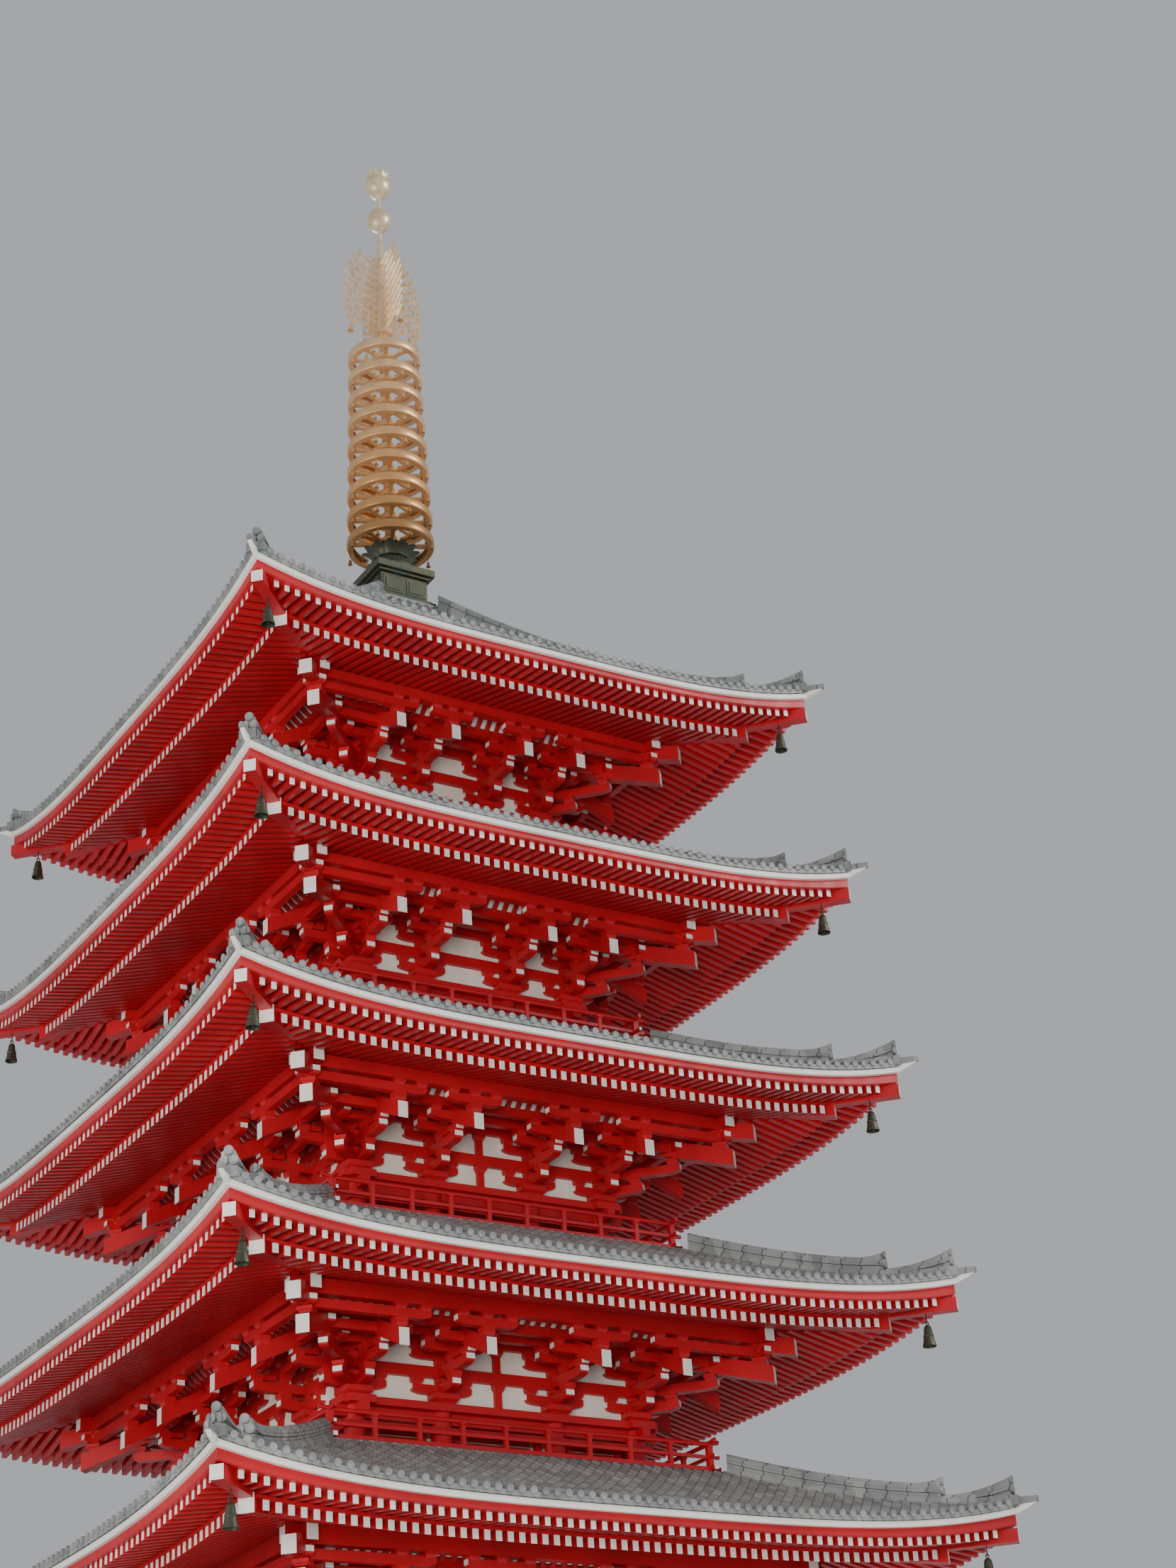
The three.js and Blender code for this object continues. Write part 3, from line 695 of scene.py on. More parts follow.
def wind_bell():
    """A cast bell that widens to its lip, with a band round it, hung on a ring, and its clapper."""
    body = [(0, 0), (0.035, 0), (0.07, -0.025), (0.085, -0.08), (0.1, -0.2), (0.12, -0.33),
            (0.142, -0.41), (0.152, -0.455), (0.138, -0.455), (0.105, -0.33), (0.085, -0.1), (0, -0.06)]
    band = [(0.1, -0.2), (0.113, -0.215), (0.117, -0.24), (0.107, -0.26), (0.097, -0.23), (0.1, -0.2)]
    bm = spun(body, 16)
    place(bm, stock(spun(band, 16)))
    torus(bm, (0, 0, 0.045), 0.04, 0.012, UPRIGHT)
    rod(bm, (0, 0, 0.05), (0, 0, 0.26), 0.014)
    clapper = -0.42
    rod(bm, (0, 0, -0.08), (0, 0, clapper), 0.01)
    bmesh.ops.create_icosphere(bm, subdivisions=1, radius=0.035, matrix=at(0, 0, clapper))
    return stock(bm)


def bells(s, bell):
    """A wind bell under each corner's flying hip rafter."""
    bm = bmesh.new()
    out, height = s.eave - 0.57, s.corner - 0.8
    for x, y in ((out, out), (-out, out), (-out, -out), (out, -out)):
        place(bm, bell, at(x, y, height))
    piece(f"wind_bells_{s.number}", bm, (DARK_BRONZE,), "dark_bronze", smooth=40)


# Roofs. A tier of a hip ridge ends in one round cover over two others, and bends up to it.

COVER = arc((0, 0), (0.09, 0.09), 0, 180, 6)
COVER_GAP = 0.1
HORN_BEND = 1.8


def tile_disc():
    """A round end tile with a raised rim and a boss, its face to +Y."""
    rim = TILE_RADIUS + 0.008
    bm = cone(12, rim, rim, 0.05)
    face = max(bm.faces, key=lambda f: f.calc_center_median().z)
    bmesh.ops.inset_region(bm, faces=[face], thickness=0.016, depth=-0.012)
    bmesh.ops.transform(bm, matrix=FACE_OUT, verts=bm.verts)
    return stock(bm)


def drip_lip():
    """The lip of a pan tile between two round ends, dished along its top."""
    half = TILE_PITCH / 2
    low = arc((0, 0), (half, 0.012), 180, 360, 4)
    high = arc((0, 0.115), (half, 0.025), 360, 180, 4)
    return slab(low + high, 0.05)


def roof_tiles(s, disc, lip):
    """The bed under the tiles, the rows of round tiles, and the round ends and lips along the eave."""
    bm = bmesh.new()
    rim, bed = s.eave + TILE_OVERHANG, s.eave - 0.03
    edge = s.middle + BOARD_TOP
    under = edge + 0.005
    slope = [s.eave - share * (s.eave - s.roof_inner) for share in (0.12, 0.3, 0.5, 0.7, 0.88, 1)]
    above = [(d, s.tiles(d) - 0.02) for d in slope]
    below = [(d, s.tiles(d) - 0.2) for d in reversed(slope)]
    shell = [(s.eave - 0.2, under), (bed, under), (bed, s.tiles(bed) - 0.03)] + above + below
    ring(bm, shell, EAVE_STOPS, s.lift)
    side = bmesh.new()
    rows = spread(s.eave - 0.1, TILE_PITCH)
    for x in rows:
        row_of_tiles(side, s, x, rim)
        place(side, disc, at(x, rim - 0.01, edge + 0.14 + s.lift(x, s.eave)))
    for left, right in zip(rows, rows[1:]):
        middle = (left + right) / 2
        tilt = math.atan2(s.lift(right, s.eave) - s.lift(left, s.eave), right - left)
        spot = at(middle, rim - 0.035, edge + 0.02 + s.lift(middle, s.eave))
        place(side, lip, spot @ Matrix.Rotation(-tilt, 4, "Y"))
    place(bm, stock(four_sides(side)))
    piece(f"roof_tiles_{s.number}", bm, (ROOF_TILE,), "roof_tile", f"roof_{s.number}", smooth=50)


def row_of_tiles(side, s, x, rim):
    """One row of round tiles down the slope, from the hip or the upper edge to the eave."""
    inner = max(s.roof_inner, abs(x) - 0.04)
    steps = max(1, round((rim - inner) / 0.8))
    bm = bmesh.new()
    bmesh.ops.create_grid(bm, x_segments=5, y_segments=steps, size=1)
    for corner in bm.verts:
        angle = (1 - corner.co.x) / 2 * math.pi
        d = inner + (corner.co.y + 1) / 2 * (rim - inner)
        corner.co = (x + TILE_RADIUS * math.cos(angle), d,
                     s.tiles(d) - 0.015 + s.lift(x, d) + TILE_RADIUS * 1.4 * math.sin(angle))
    normals_out(bm)
    if bm.faces and sum(f.normal.z for f in bm.faces) < 0:
        bmesh.ops.reverse_faces(bm, faces=bm.faces)
    place(side, stock(bm))


def hip_height(s, d):
    """Height of the tiles under a hip ridge."""
    return s.tiles(d) + s.lift(d, d)


def hip_line(s, start, end, steps, low, high=None):
    """Stations along the hip, at a height over the tiles that may bend up from low to high."""
    stations = []
    for i in range(steps + 1):
        share = i / steps
        d = start + (end - start) * share
        rise = 0 if high is None else (high - low) * share ** HORN_BEND
        stations.append((d * ROOT_2, hip_height(s, d) + low + rise, 1))
    return stations


def course(half, height):
    """The section of one laid course."""
    return rect(-half, half, 0, height)


def side_covers(bm, stations, turn):
    """Two round covers side by side, under the one that tops a tier's end."""
    for x in (-COVER_GAP, COVER_GAP):
        sweep(bm, [(across + x, up) for across, up in COVER], stations, turn)


def end_discs(bm, s, turn, disc, d, above):
    """The three round ends at which a tier stops."""
    spot = turn @ at(0, d * ROOT_2, hip_height(s, d) + above)
    for x, z in ((-COVER_GAP, -0.2), (COVER_GAP, -0.2), (0, 0)):
        place(bm, disc, spot @ at(x, 0, z) @ sized(1.2, 1.2, 1.2))


def upper_tier(bm, s, turn, disc, start, end):
    """Four laid courses under a round cover, which rises over the last stretch."""
    for i in range(4):
        half, base = 0.165 - 0.022 * (i % 2), 0.07 + i * 0.07
        sweep(bm, course(half, 0.062), hip_line(s, start, end, 8, base), turn)
    horn = end - 0.4
    sweep(bm, COVER, hip_line(s, start, horn, 7, 0.34), turn)
    sweep(bm, COVER, hip_line(s, horn, end + 0.02, 4, 0.34, 0.47), turn)
    side_covers(bm, hip_line(s, horn, end + 0.012, 4, 0.2, 0.27), turn)
    sweep(bm, course(0.12, 0.2), hip_line(s, horn, end + 0.006, 4, 0.2, 0.28), turn)
    end_discs(bm, s, turn, disc, end + 0.03, 0.48)


def lower_tier(bm, s, turn, disc, start, end):
    """One laid course, and a wedge that carries a round cover up to the corner."""
    sweep(bm, course(0.16, 0.07), hip_line(s, start - 0.05, end - 0.01, 5, 0.02), turn)
    sweep(bm, COVER, hip_line(s, start - 0.05, end + 0.02, 8, 0.1, 0.42), turn)
    side_covers(bm, hip_line(s, start + 0.3, end + 0.012, 6, 0.08, 0.22), turn)
    crest = [(d, z + 0.02) for d, z, _ in hip_line(s, start, end, 6, 0.1, 0.42)]
    foot = [(d * ROOT_2, hip_height(s, d)) for d in (start, end)]
    place(bm, slab(foot + crest[::-1], 0.22), turn @ OUTWARD)
    end_discs(bm, s, turn, disc, end + 0.03, 0.435)


def hip_ridge(bm, s, turn, disc):
    """A ridge in two tiers that each rise to three round ends, and the corner tile beyond them."""
    start = s.roof_inner + (0.1 if s.is_top else -0.05)
    split, end = s.eave - 1.12, s.eave - 0.11
    sweep(bm, course(0.2, 0.2), hip_line(s, start, s.eave, 6, -0.12), turn)
    upper_tier(bm, s, turn, disc, start, split)
    lower_tier(bm, s, turn, disc, split, end)
    half = 0.075
    line = ((-0.3, 0.0, 1), (0, -0.085, 1), (0.15, -0.08, 0.9), (0.27, -0.06, 0.75))
    stations = [((s.eave + out) * ROOT_2, hip_height(s, s.eave + min(out, 0)) + z, size)
                for out, z, size in line]
    sweep(bm, [(-half, 0), (half, 0)] + arc((0, 0.08), (half, 0.09), 0, 180, 6), stations, turn)


def ridges(s, disc):
    """The hip ridges, and the courses that close the roof's upper edge."""
    bm = bmesh.new()
    for turn in CORNER_TURNS:
        hip_ridge(bm, s, turn, disc)
    inner, top = s.roof_inner, s.roof_top
    if s.is_top:
        courses = [(0.3, half, top - 0.3 + 0.1 * i, 0.09) for i, half in enumerate((0.92, 0.86, 0.9))]
    else:
        courses = [(inner - 0.15, inner + out, top - 0.1 + 0.09 * i, 0.08)
                   for i, out in enumerate((0.03, -0.01))]
    for near, far, low, height in courses:
        ring(bm, rect(near, far, low, low + height))
    piece(f"hip_ridges_{s.number}", bm, (ROOF_TILE,), "roof_tile", smooth=40)


# Brackets: distances out of the wall, and heights from the eave's corner

OUT_STEPS = (0.62, 1.24, 2.04)
OUT_OVERRUN = 0.11
WALL_ARMS = (-1.92, -1.18)
OUT_ARMS = (-1.92, -1.57)
CROSS_ARMS = (-1.174, -1.134, -1.044)
STEP_BEAM = (-0.84, -0.66)
ARM_SEATS = (STEP_BEAM[0], STEP_BEAM[0], PURLIN_SEAT)
ARM_HEIGHT = 0.2
ARM_HALF = 0.1
STEP_ARM_WIDTH = 0.17
TAIL_END, TAIL_UNDERSIDE, TAIL_DEPTH, TAIL_SLOPE = 2.23, -1.65, 0.36, 0.48
FLAT_CEILING = -0.64
CURVED_CEILING = ((OUT_STEPS[1] + 0.08, -0.64), (1.55, -0.44), (1.93, -0.31))
LAST_WITH_STRUTS = 3

# The two tail rafters of a corner: reach, height of the end's middle, depth, slope and width
CORNER_TAILS = ((2.24, -1.44, 0.38, 0.28, 0.28), (2.6, -0.91, 0.36, 0.2, 0.3))


def bearing_block(width, height):
    """A bearing block: a square top on a foot that curves in."""
    bm = bmesh.new()
    foot = width * 0.7
    bmesh.ops.create_grid(bm, x_segments=1, y_segments=1, size=foot / 2)
    (face,) = bm.faces
    for rise, size in ((0.22, 0.8), (0.25, 1.0), (0.53, 1.0)):
        made = bmesh.ops.extrude_face_region(bm, geom=[face])
        top = corners_of(made)
        face = faces_of(made)[0]
        old = abs(top[0].co.x)
        bmesh.ops.scale(bm, vec=(width * size / 2 / old, width * size / 2 / old, 1), verts=top)
        bmesh.ops.translate(bm, vec=(0, 0, rise * height), verts=top)
    normals_out(bm)
    return stock(bm)


def arm(left, right, width=2 * ARM_HALF, round_left=True):
    """A bracket arm with its undersides curved up to painted ends."""
    curve, lip = 0.28, 0.45 * ARM_HEIGHT
    bottom = arc((right - curve, lip), (curve, lip), -90, 0, 4)
    if round_left:
        bottom = arc((left + curve, lip), (curve, lip), 180, 270, 4) + bottom
    else:
        bottom = [(left, 0)] + bottom
    return slab([(left, ARM_HEIGHT)] + bottom + [(right, ARM_HEIGHT)], width, WHITE)


def left_half_arm(reach):
    """The half of a bracket arm that lies left of its column."""
    bm = bmesh.new()
    place(bm, arm(ARM_HALF, reach, round_left=False), Matrix.Rotation(math.pi, 4, "Z"))
    return stock(bm)


def nosed_beam(side, d, half, low, high, overrun, mesh=BEAM_CUBE):
    """A beam along a side, which carries it through its right corner. Its left nose is apart."""
    reach = d + overrun
    for xs in ((half - d, reach), (-reach, -d - half)):
        box(side, xs, about(d, half), (low, high), mesh)


BLOCK_HEIGHT = 0.13
BLOCK = bearing_block(0.26, BLOCK_HEIGHT)
BIG_BLOCK = bearing_block(0.6, 0.22)


def blocks(side, s, x, out, level, offsets, height=BLOCK_HEIGHT):
    scale = sized(1, 1, height / BLOCK_HEIGHT)
    for offset in offsets:
        spot = at(x + offset, s.wall + out, s.corner + level)
        place(side, BLOCK, spot @ scale)


class BracketSet:
    """A three-stepped set of brackets on one column, with its tail rafter.

    Two sides share a corner's set. The side whose right end it is places what stands on the crossing, and
    the other one's arms lie a hair higher, so no two faces share a plane.
    """

    def __init__(self, side, s, x, arms):
        self.side, self.s, self.x, self.arms = side, s, x, arms
        self.corner = abs(x) == s.wall
        self.shared = x == -s.wall
        self.turn = Matrix.Rotation(math.pi, 4, "Z") if x < 0 else Matrix()
        self.middle = () if self.shared else (0,)
        self.ends = (-s.arm, s.arm)
        self.inward = (-s.arm if x > 0 else s.arm,) if self.corner else self.ends

    def build(self):
        self.over_wall()
        self.outward()
        self.steps()
        self.tail()

    def stand(self, mesh, out, level, turn=Matrix()):
        hair = 0.004 if self.shared else 0
        spot = (self.x, self.s.wall + out, self.s.corner + level + hair)
        place(self.side, mesh, Matrix.Translation(spot) @ turn)

    def blocks(self, out, low, offsets, high):
        """Bearing blocks that fill the height from low to high."""
        blocks(self.side, self.s, self.x, out, low, offsets, high - low)

    def over_wall(self):
        """The big block and two tiers of arms in the wall, with the blocks that carry the ties."""
        if not self.shared:
            self.stand(BIG_BLOCK, 0, PLATE_TOP)
            self.blocks(0, LOWER_TIE[1], self.middle, WALL_ARMS[1])
        low_arm = self.arms["half_wall" if self.corner else "wall"]
        tiers = ((low_arm, WALL_ARMS[0], LOWER_TIE, self.inward),
                 (self.arms["wall"], WALL_ARMS[1], UPPER_TIE, self.ends))
        for mesh, level, tie, offsets in tiers:
            self.stand(mesh, 0, level, self.turn)
            self.blocks(0, level + ARM_HEIGHT, offsets + self.middle, tie[0])

    def outward(self):
        """The arms that step out of the wall, and the beam over the first step with its painted end."""
        arms = self.arms["far_out" if self.x < self.s.wall else "out"]
        for mesh, out, level in zip(arms, OUT_STEPS, OUT_ARMS):
            self.stand(mesh, 0, level, OUTWARD)
            top = level + ARM_HEIGHT
            self.blocks(out, top, (0,), top + 0.15)
        low = OUT_ARMS[1] + ARM_HEIGHT
        foot = self.s.corner + low + 0.035
        start, end = self.s.wall + OUT_STEPS[0] + 0.2, self.s.wall + OUT_STEPS[1] + 0.17
        bar(self.side, self.x, (start, foot), (end, foot), 0.19, 0.11)
        self.blocks(OUT_STEPS[0], low, (0,), CROSS_ARMS[0])

    def steps(self):
        """The arms across each step, with the blocks under its beam."""
        arms = self.arms["corner_step" if self.corner else "step"]
        for mesh, out, level, seat in zip(arms, OUT_STEPS, CROSS_ARMS, ARM_SEATS):
            self.stand(mesh, out, level, self.turn)
            beyond = (out,) if self.corner and not self.shared else ()
            self.blocks(out, level + ARM_HEIGHT - 0.03, self.inward + (0,) + beyond, seat)

    def tail(self):
        """The tail rafter, which carries the outer step."""
        start, end = self.s.wall - 0.1, self.s.wall + TAIL_END
        low = self.s.corner + TAIL_UNDERSIDE
        bar(self.side, self.x, (start, low + TAIL_SLOPE * (end - start)), (end, low), 0.23, TAIL_DEPTH)
        self.blocks(OUT_STEPS[2], TAIL_UNDERSIDE + TAIL_DEPTH, (0,), CROSS_ARMS[2])


def corner_set(side, s, diagonal_arms):
    """The arms and the two tail rafters under the diagonal of a corner."""
    turn = at(s.wall, s.wall, s.corner) @ CORNER_TURNS[0]
    for mesh, beside, out in zip(diagonal_arms, OUT_ARMS, OUT_STEPS):
        level = beside - 0.008
        place(side, mesh, turn @ at(0, 0, level) @ OUTWARD)
        place(side, BLOCK, turn @ at(0, out * ROOT_2, level + ARM_HEIGHT))
    for reach, middle, depth, slope, width in CORNER_TAILS:
        low = middle - depth / 2
        start, end = -0.1 * ROOT_2, reach * ROOT_2
        bar(side, 0, (start, low + slope * (end - start)), (end, low), width, depth, turn=turn)
    seat = at(0, OUT_STEPS[2] * ROOT_2, -1.18) @ sized(0.55, 0.55, 0.6)
    place(side, BIG_BLOCK, turn @ seat)


def ring_beams(side, s):
    """Through beams over the wall and over each step, with crossed noses at the corners."""
    w, c = s.wall, s.corner
    between = w - ARM_HALF
    box(side, about(0, between), about(w, ARM_HALF), [c + level for level in LOWER_TIE])
    levels = ((0, UPPER_TIE, ARM_HALF), (OUT_STEPS[0], STEP_BEAM, 0.085), (OUT_STEPS[1], STEP_BEAM, 0.085))
    for out, (low, high), half in levels:
        nosed_beam(side, w + out, half, c + low, c + high, 0.3)
    d, half = w + OUT_STEPS[2], 0.12
    nosed_beam(side, d, half, c + PURLIN_SEAT, s.base_underside(d + half) + 0.02, 0.42)


def ceilings(side, s):
    """The flat lattice between the steps and the curved ribs that rise to the purlin."""
    w, c = s.wall, s.corner
    edge, half = w + OUT_STEPS[1] - 0.06, 0.03
    for x in spread(edge - 0.1, 0.25):
        inner = max(w + 0.1, abs(x) + half)
        if edge - inner > 0.1:
            box(side, about(x, half), (inner, edge), (c + FLAT_CEILING - 0.05, c + FLAT_CEILING))
    line = [(out, z - 0.09) for out, z in CURVED_CEILING[:2]] + [(1.90, -0.40)]
    for x in spread(w + 1.7, 0.25):
        for (o0, z0), (o1, z1) in zip(line, line[1:]):
            if abs(x) + 0.05 < w + o1:
                start = max(o0, abs(x) + 0.05 - w)
                z_start = z0 + (z1 - z0) * (start - o0) / (o1 - o0)
                bar(side, x, (w + start, c + z_start), (w + o1, c + z1), 0.1, 0.09, CUBES[PAINT])


def struts(side, s):
    """Short posts with a block on top, which part the plaster of the centre bay."""
    for low, level, tie in zip((PLATE_TOP, LOWER_TIE[1]), WALL_ARMS, (LOWER_TIE, UPPER_TIE)):
        high = level + ARM_HEIGHT
        box(side, about(0, 0.08), (s.wall - 0.05, s.wall + 0.07), (s.corner + low, s.corner + high))
        blocks(side, s, 0, 0, high, (0,), tie[0] - high)


def brackets(s):
    side = bmesh.new()
    reach, half = s.arm + 0.13, ARM_HALF
    ends = [out + OUT_OVERRUN for out in OUT_STEPS[:2]]
    arms = {
        "wall": arm(-reach, reach),
        "half_wall": left_half_arm(reach),
        "out": [arm(-half, end, round_left=False) for end in ends],
        "far_out": [arm(half, end, round_left=False) for end in ends],
        "step": [arm(-reach, reach, STEP_ARM_WIDTH)] * len(OUT_STEPS),
        "corner_step": [arm(-reach, out + 0.3, STEP_ARM_WIDTH) for out in OUT_STEPS],
    }
    for x in s.columns:
        BracketSet(side, s, x, arms).build()
    corner_set(side, s, [arm(-half, out * ROOT_2 + 0.18, round_left=False) for out in OUT_STEPS[:2]])
    ring_beams(side, s)
    ceilings(side, s)
    if s.number <= LAST_WITH_STRUTS:
        struts(side, s)
    bm = four_sides(side)
    w, c = s.wall, s.corner
    board = 0.03
    ring(bm, rect(w - 0.12, w - 0.02, s.plate, c - 0.5), material=PLASTER)
    ring(bm, rect(w - 0.1, w + OUT_STEPS[1] + 0.04, c + FLAT_CEILING, c + FLAT_CEILING + board))
    under = [(w + out, c + z) for out, z in CURVED_CEILING]
    ring(bm, under + [(d, z + board) for d, z in reversed(under)], material=WHITE)
    piece(f"bracket_work_{s.number}", bm, JOINERY, "vermilion_paint", f"brackets_{s.number}")


# Columns, beams, doors and windows

def rail(side, s, low, height, start=None, end=None):
    """A rail outside the columns. Each side's rail runs past the end of the next one's."""
    near, far = s.wall - 0.2, s.wall + 0.27
    xs = (-near if start is None else start, far if end is None else end)
    box(side, xs, (near, far), (low, low + height))


def columns(s):
    """Twelve round columns, the plate and the beam on their heads, and the rails round them."""
    side = bmesh.new()
    foot, height = s.floor, s.plate - 0.02 - s.floor
    post = stock(cone(24, 0.23, 0.225, height))
    for x in s.columns[:3]:
        place(side, post, at(x, s.wall, foot + height / 2))
    head = s.plate - PLATE_HEIGHT
    nosed_beam(side, s.wall, 0.3, head, s.plate, 0.42, CUBES[PAINT])
    nosed_beam(side, s.wall, 0.1, head - 0.24, head, 0.5, CUBES[PAINT])
    rail(side, s, s.opening_top, 0.12)
    rail(side, s, foot + 0.02, FOOT_RAIL_TOP - 0.02)
    if s.number == 1:
        waist = foot + 1.08
        rail(side, s, waist, 0.14, end=-s.bay)
        rail(side, s, waist, 0.14, start=s.bay)
        rail(side, s, s.opening_top + 1.1, 0.14)
    frames(side, s)
    piece(f"timber_frame_{s.number}", four_sides(side), JOINERY, "vermilion_paint",
          f"columns_{s.number}", smooth=30)


def frames(side, s):
    """Posts beside the doors and windows, and on the upper storeys the board over them."""
    low, high, top = s.floor + FOOT_RAIL_TOP, s.plate - PLATE_HEIGHT, s.opening_top
    face = (s.wall - 0.25, s.wall - 0.1)
    door_post, window_post = 0.07, 0.06
    for x in about(0, s.door_half + door_post):
        box(side, about(x, door_post), face, (low, top))
    for centre in about(0, s.window_centre):
        for x in about(centre, s.window_half + window_post):
            box(side, about(x, window_post), face, (low, high))
    if s.number > 1:
        box(side, (0.25 - s.wall, s.wall - 0.1), face, (top + 0.2, top + 0.32))
        box(side, about(0, s.bay), (s.wall - 0.24, s.wall - 0.12), (top + 0.11, high))


def door_leaf(side, left, right, low, high, d):
    """A panelled leaf: stiles and rails proud of the panels, with metal straps and studs."""
    stile, across, strap, studs = 0.09, 0.07, 0.05, 5
    box(side, (left, right), (d - 0.05, d), (low, high))
    for x in (left, right - stile):
        box(side, (x, x + stile), (d, d + 0.03), (low, high))
    panels = 4 if high - low > 1.5 else 2
    for i in range(panels + 1):
        z = low + (high - low - across) * i / panels
        box(side, (left + stile, right - stile), (d, d + 0.025), (z, z + across))
    for z in (low + 0.1, high - 0.16):
        box(side, (left, right), (d + 0.03, d + 0.04), (z, z + strap), CUBES[METAL])
        for i in range(studs):
            x = left + (right - left) * (i + 0.5) / studs
            place(side, STUD, at(x, d + 0.04, z + strap / 2))


def stud():
    bm = cone(8, 0.022, 0.01, 0.02)
    bmesh.ops.transform(bm, matrix=FACE_OUT, verts=bm.verts)
    for face in bm.faces:
        face.material_index = METAL
    return stock(bm)


STUD = stud()


def lattice(side, centre, half, d, low, high):
    """A window frame with square bars that stand on edge in it."""
    deep, edge = (d - 0.02, d + 0.08), 0.06
    for x in about(centre, half - edge / 2):
        box(side, about(x, edge / 2), deep, (low, high))
    for z in (low, high - edge):
        box(side, about(centre, half - edge), deep, (z, z + edge))
    size = sized(0.05, 0.05, high - low - edge)
    for x in spread(half - 0.1, 0.095):
        spot = at(centre + x, d + 0.02, low + edge / 2)
        place(side, CUBES[PAINT], spot @ Matrix.Rotation(QUARTER / 2, 4, "Z") @ size)


def doors_and_windows(s):
    """The closed leaves and the lattices of a storey, with a board behind them."""
    side = bmesh.new()
    low, top, d = s.floor + FOOT_RAIL_TOP, s.opening_top, s.wall - 0.34
    for left, right in ((-s.door_half, -0.005), (0.005, s.door_half)):
        door_leaf(side, left, right, low, top, d)
    sill = low
    if s.number == 1:
        sill = s.floor + 1.2
        for x in about(0, 0.12):
            torus(side, (x, d + 0.05, s.floor + 1.5), 0.06, 0.012, UPRIGHT)
    for centre in about(0, s.window_centre):
        lattice(side, centre, s.window_half, d, sill, top)
    bm = four_sides(side)
    back = s.wall - 0.41
    ring(bm, rect(back - 0.06, back, s.floor, top + 0.1))
    piece(f"leaves_and_lattices_{s.number}", bm, (DOOR_PAINT,) + JOINERY[1:], "door_paint",
          f"doors_and_windows_{s.number}")


# Balconies

def balcony(s):
    """Floor boards on joists, a railing of posts and three rails, and the base that carries them."""
    side = bmesh.new()
    edge, floor, inner = s.wall + ROOF_INNER - 0.2, s.floor, s.wall - 0.2
    for left, right in lengths(-inner, edge, 0.24):
        box(side, (left + 0.006, right - 0.006), (inner, edge - 0.01), (floor - 0.05, floor))
    box(side, (0.16 - edge, edge), (edge - 0.16, edge), (floor - 0.16, floor - 0.05))
    for x in spread(edge - 0.3, 0.62):
        inner = max(s.wall + 0.3, abs(x) + 0.05)
        box(side, about(x, 0.05), (inner, edge - 0.02), (floor - 0.15, floor - 0.052), RAFTER_CUBE)
    line, overrun = edge - 0.12, 0.24
    for x in spread(line, 0.95)[:-1]:
        size = 0.06 if abs(abs(x) - line) < 0.01 else 0.045
        box(side, about(x, size), about(line, size), (floor, floor + 0.58))
        place(side, BLOCK, at(x, line, floor + 0.5) @ sized(0.5, 0.5, 0.5))
    for half, low, high in ((0.055, 0.02, 0.11), (0.03, 0.29, 0.36)):
        nosed_beam(side, line, half, floor + low, floor + high, overrun)
    rise = ((-line - overrun, 0.05), (-line + 0.1, 0), (line - 0.1, 0), (line + overrun, 0.05))
    hand_rail = [(line + y, z) for y, z in arc((0, 0), (0.05, 0.05), 0, 360, 8)[:-1]]
    along = Matrix.Rotation(-QUARTER, 4, "Z") @ Matrix.Scale(-1, 4, (1, 0, 0))
    sweep(side, hand_rail, [(x, floor + 0.6 + up, 1) for x, up in rise], along)
    normals_out(side)
    bm = four_sides(side)
    below = STOREYS[s.number - 2]
    ring(bm, rect(s.wall + 0.4, s.wall + 0.6, below.base_underside(below.wall) + 0.3, floor - 0.16))
    piece(f"veranda_{s.number}", bm, JOINERY, "vermilion_paint", f"balcony_{s.number}")


# The stone platform

def stone(target, xs, ys, zs, seed):
    """One dressed stone with softened edges and an open joint round it."""
    bm = bmesh.new()
    joint = 0.008
    size = [high - low - joint for low, high in (xs, ys, zs)]
    middle = [(low + high) / 2 for low, high in (xs, ys, zs)]
    bmesh.ops.create_cube(bm, size=1, matrix=Matrix.Translation(middle) @ sized(*size))
    soften(bm, 0.012, 1)
    bmesh.ops.translate(bm, vec=(0, seed.uniform(-0.004, 0.0), 0), verts=bm.verts)
    place(target, stock(bm))


def soften(bm, width, segments):
    bmesh.ops.bevel(bm, geom=bm.edges, offset=width, segments=segments, profile=0.5, affect="EDGES",
                    material=-1)


def podium():
    """Plinth, posts with panels between them and a lip of long stones, and the paving on top."""
    seed = random.Random(7)
    side = bmesh.new()
    half, plinth, lip, cover, post = 6.5, 6.8, 6.62, 1.3, 0.2
    for xs in lengths(0.3 - half, plinth, 1.5):
        stone(side, xs, (half - 0.3, plinth), (0.0, PLINTH_HEIGHT), seed)
    posts, zs = spread(half - post, 2.1), (PLINTH_HEIGHT, cover)
    for left, right in zip(posts, posts[1:]):
        deep = 0.4 if right == posts[-1] else 0.3
        stone(side, about(right, post), (half - deep, half), zs, seed)
        stone(side, (left + post, right - post), (half - 0.3, half - 0.06), zs, seed)
    inner = half - 0.5
    for xs in lengths(-inner, lip, 1.7):
        stone(side, xs, (inner, lip), (cover, PODIUM_HEIGHT), seed)
    bm = four_sides(side)
    slabs = lengths(-inner, inner, 1.0)
    for xs in slabs:
        for ys in slabs:
            stone(bm, xs, ys, (1.35, 1.495), seed)
    core = about(0, half - 0.3)
    box(bm, core, core, (0.02, 1.34))
    piece("platform_stones", bm, (GRANITE,), "granite", "podium")


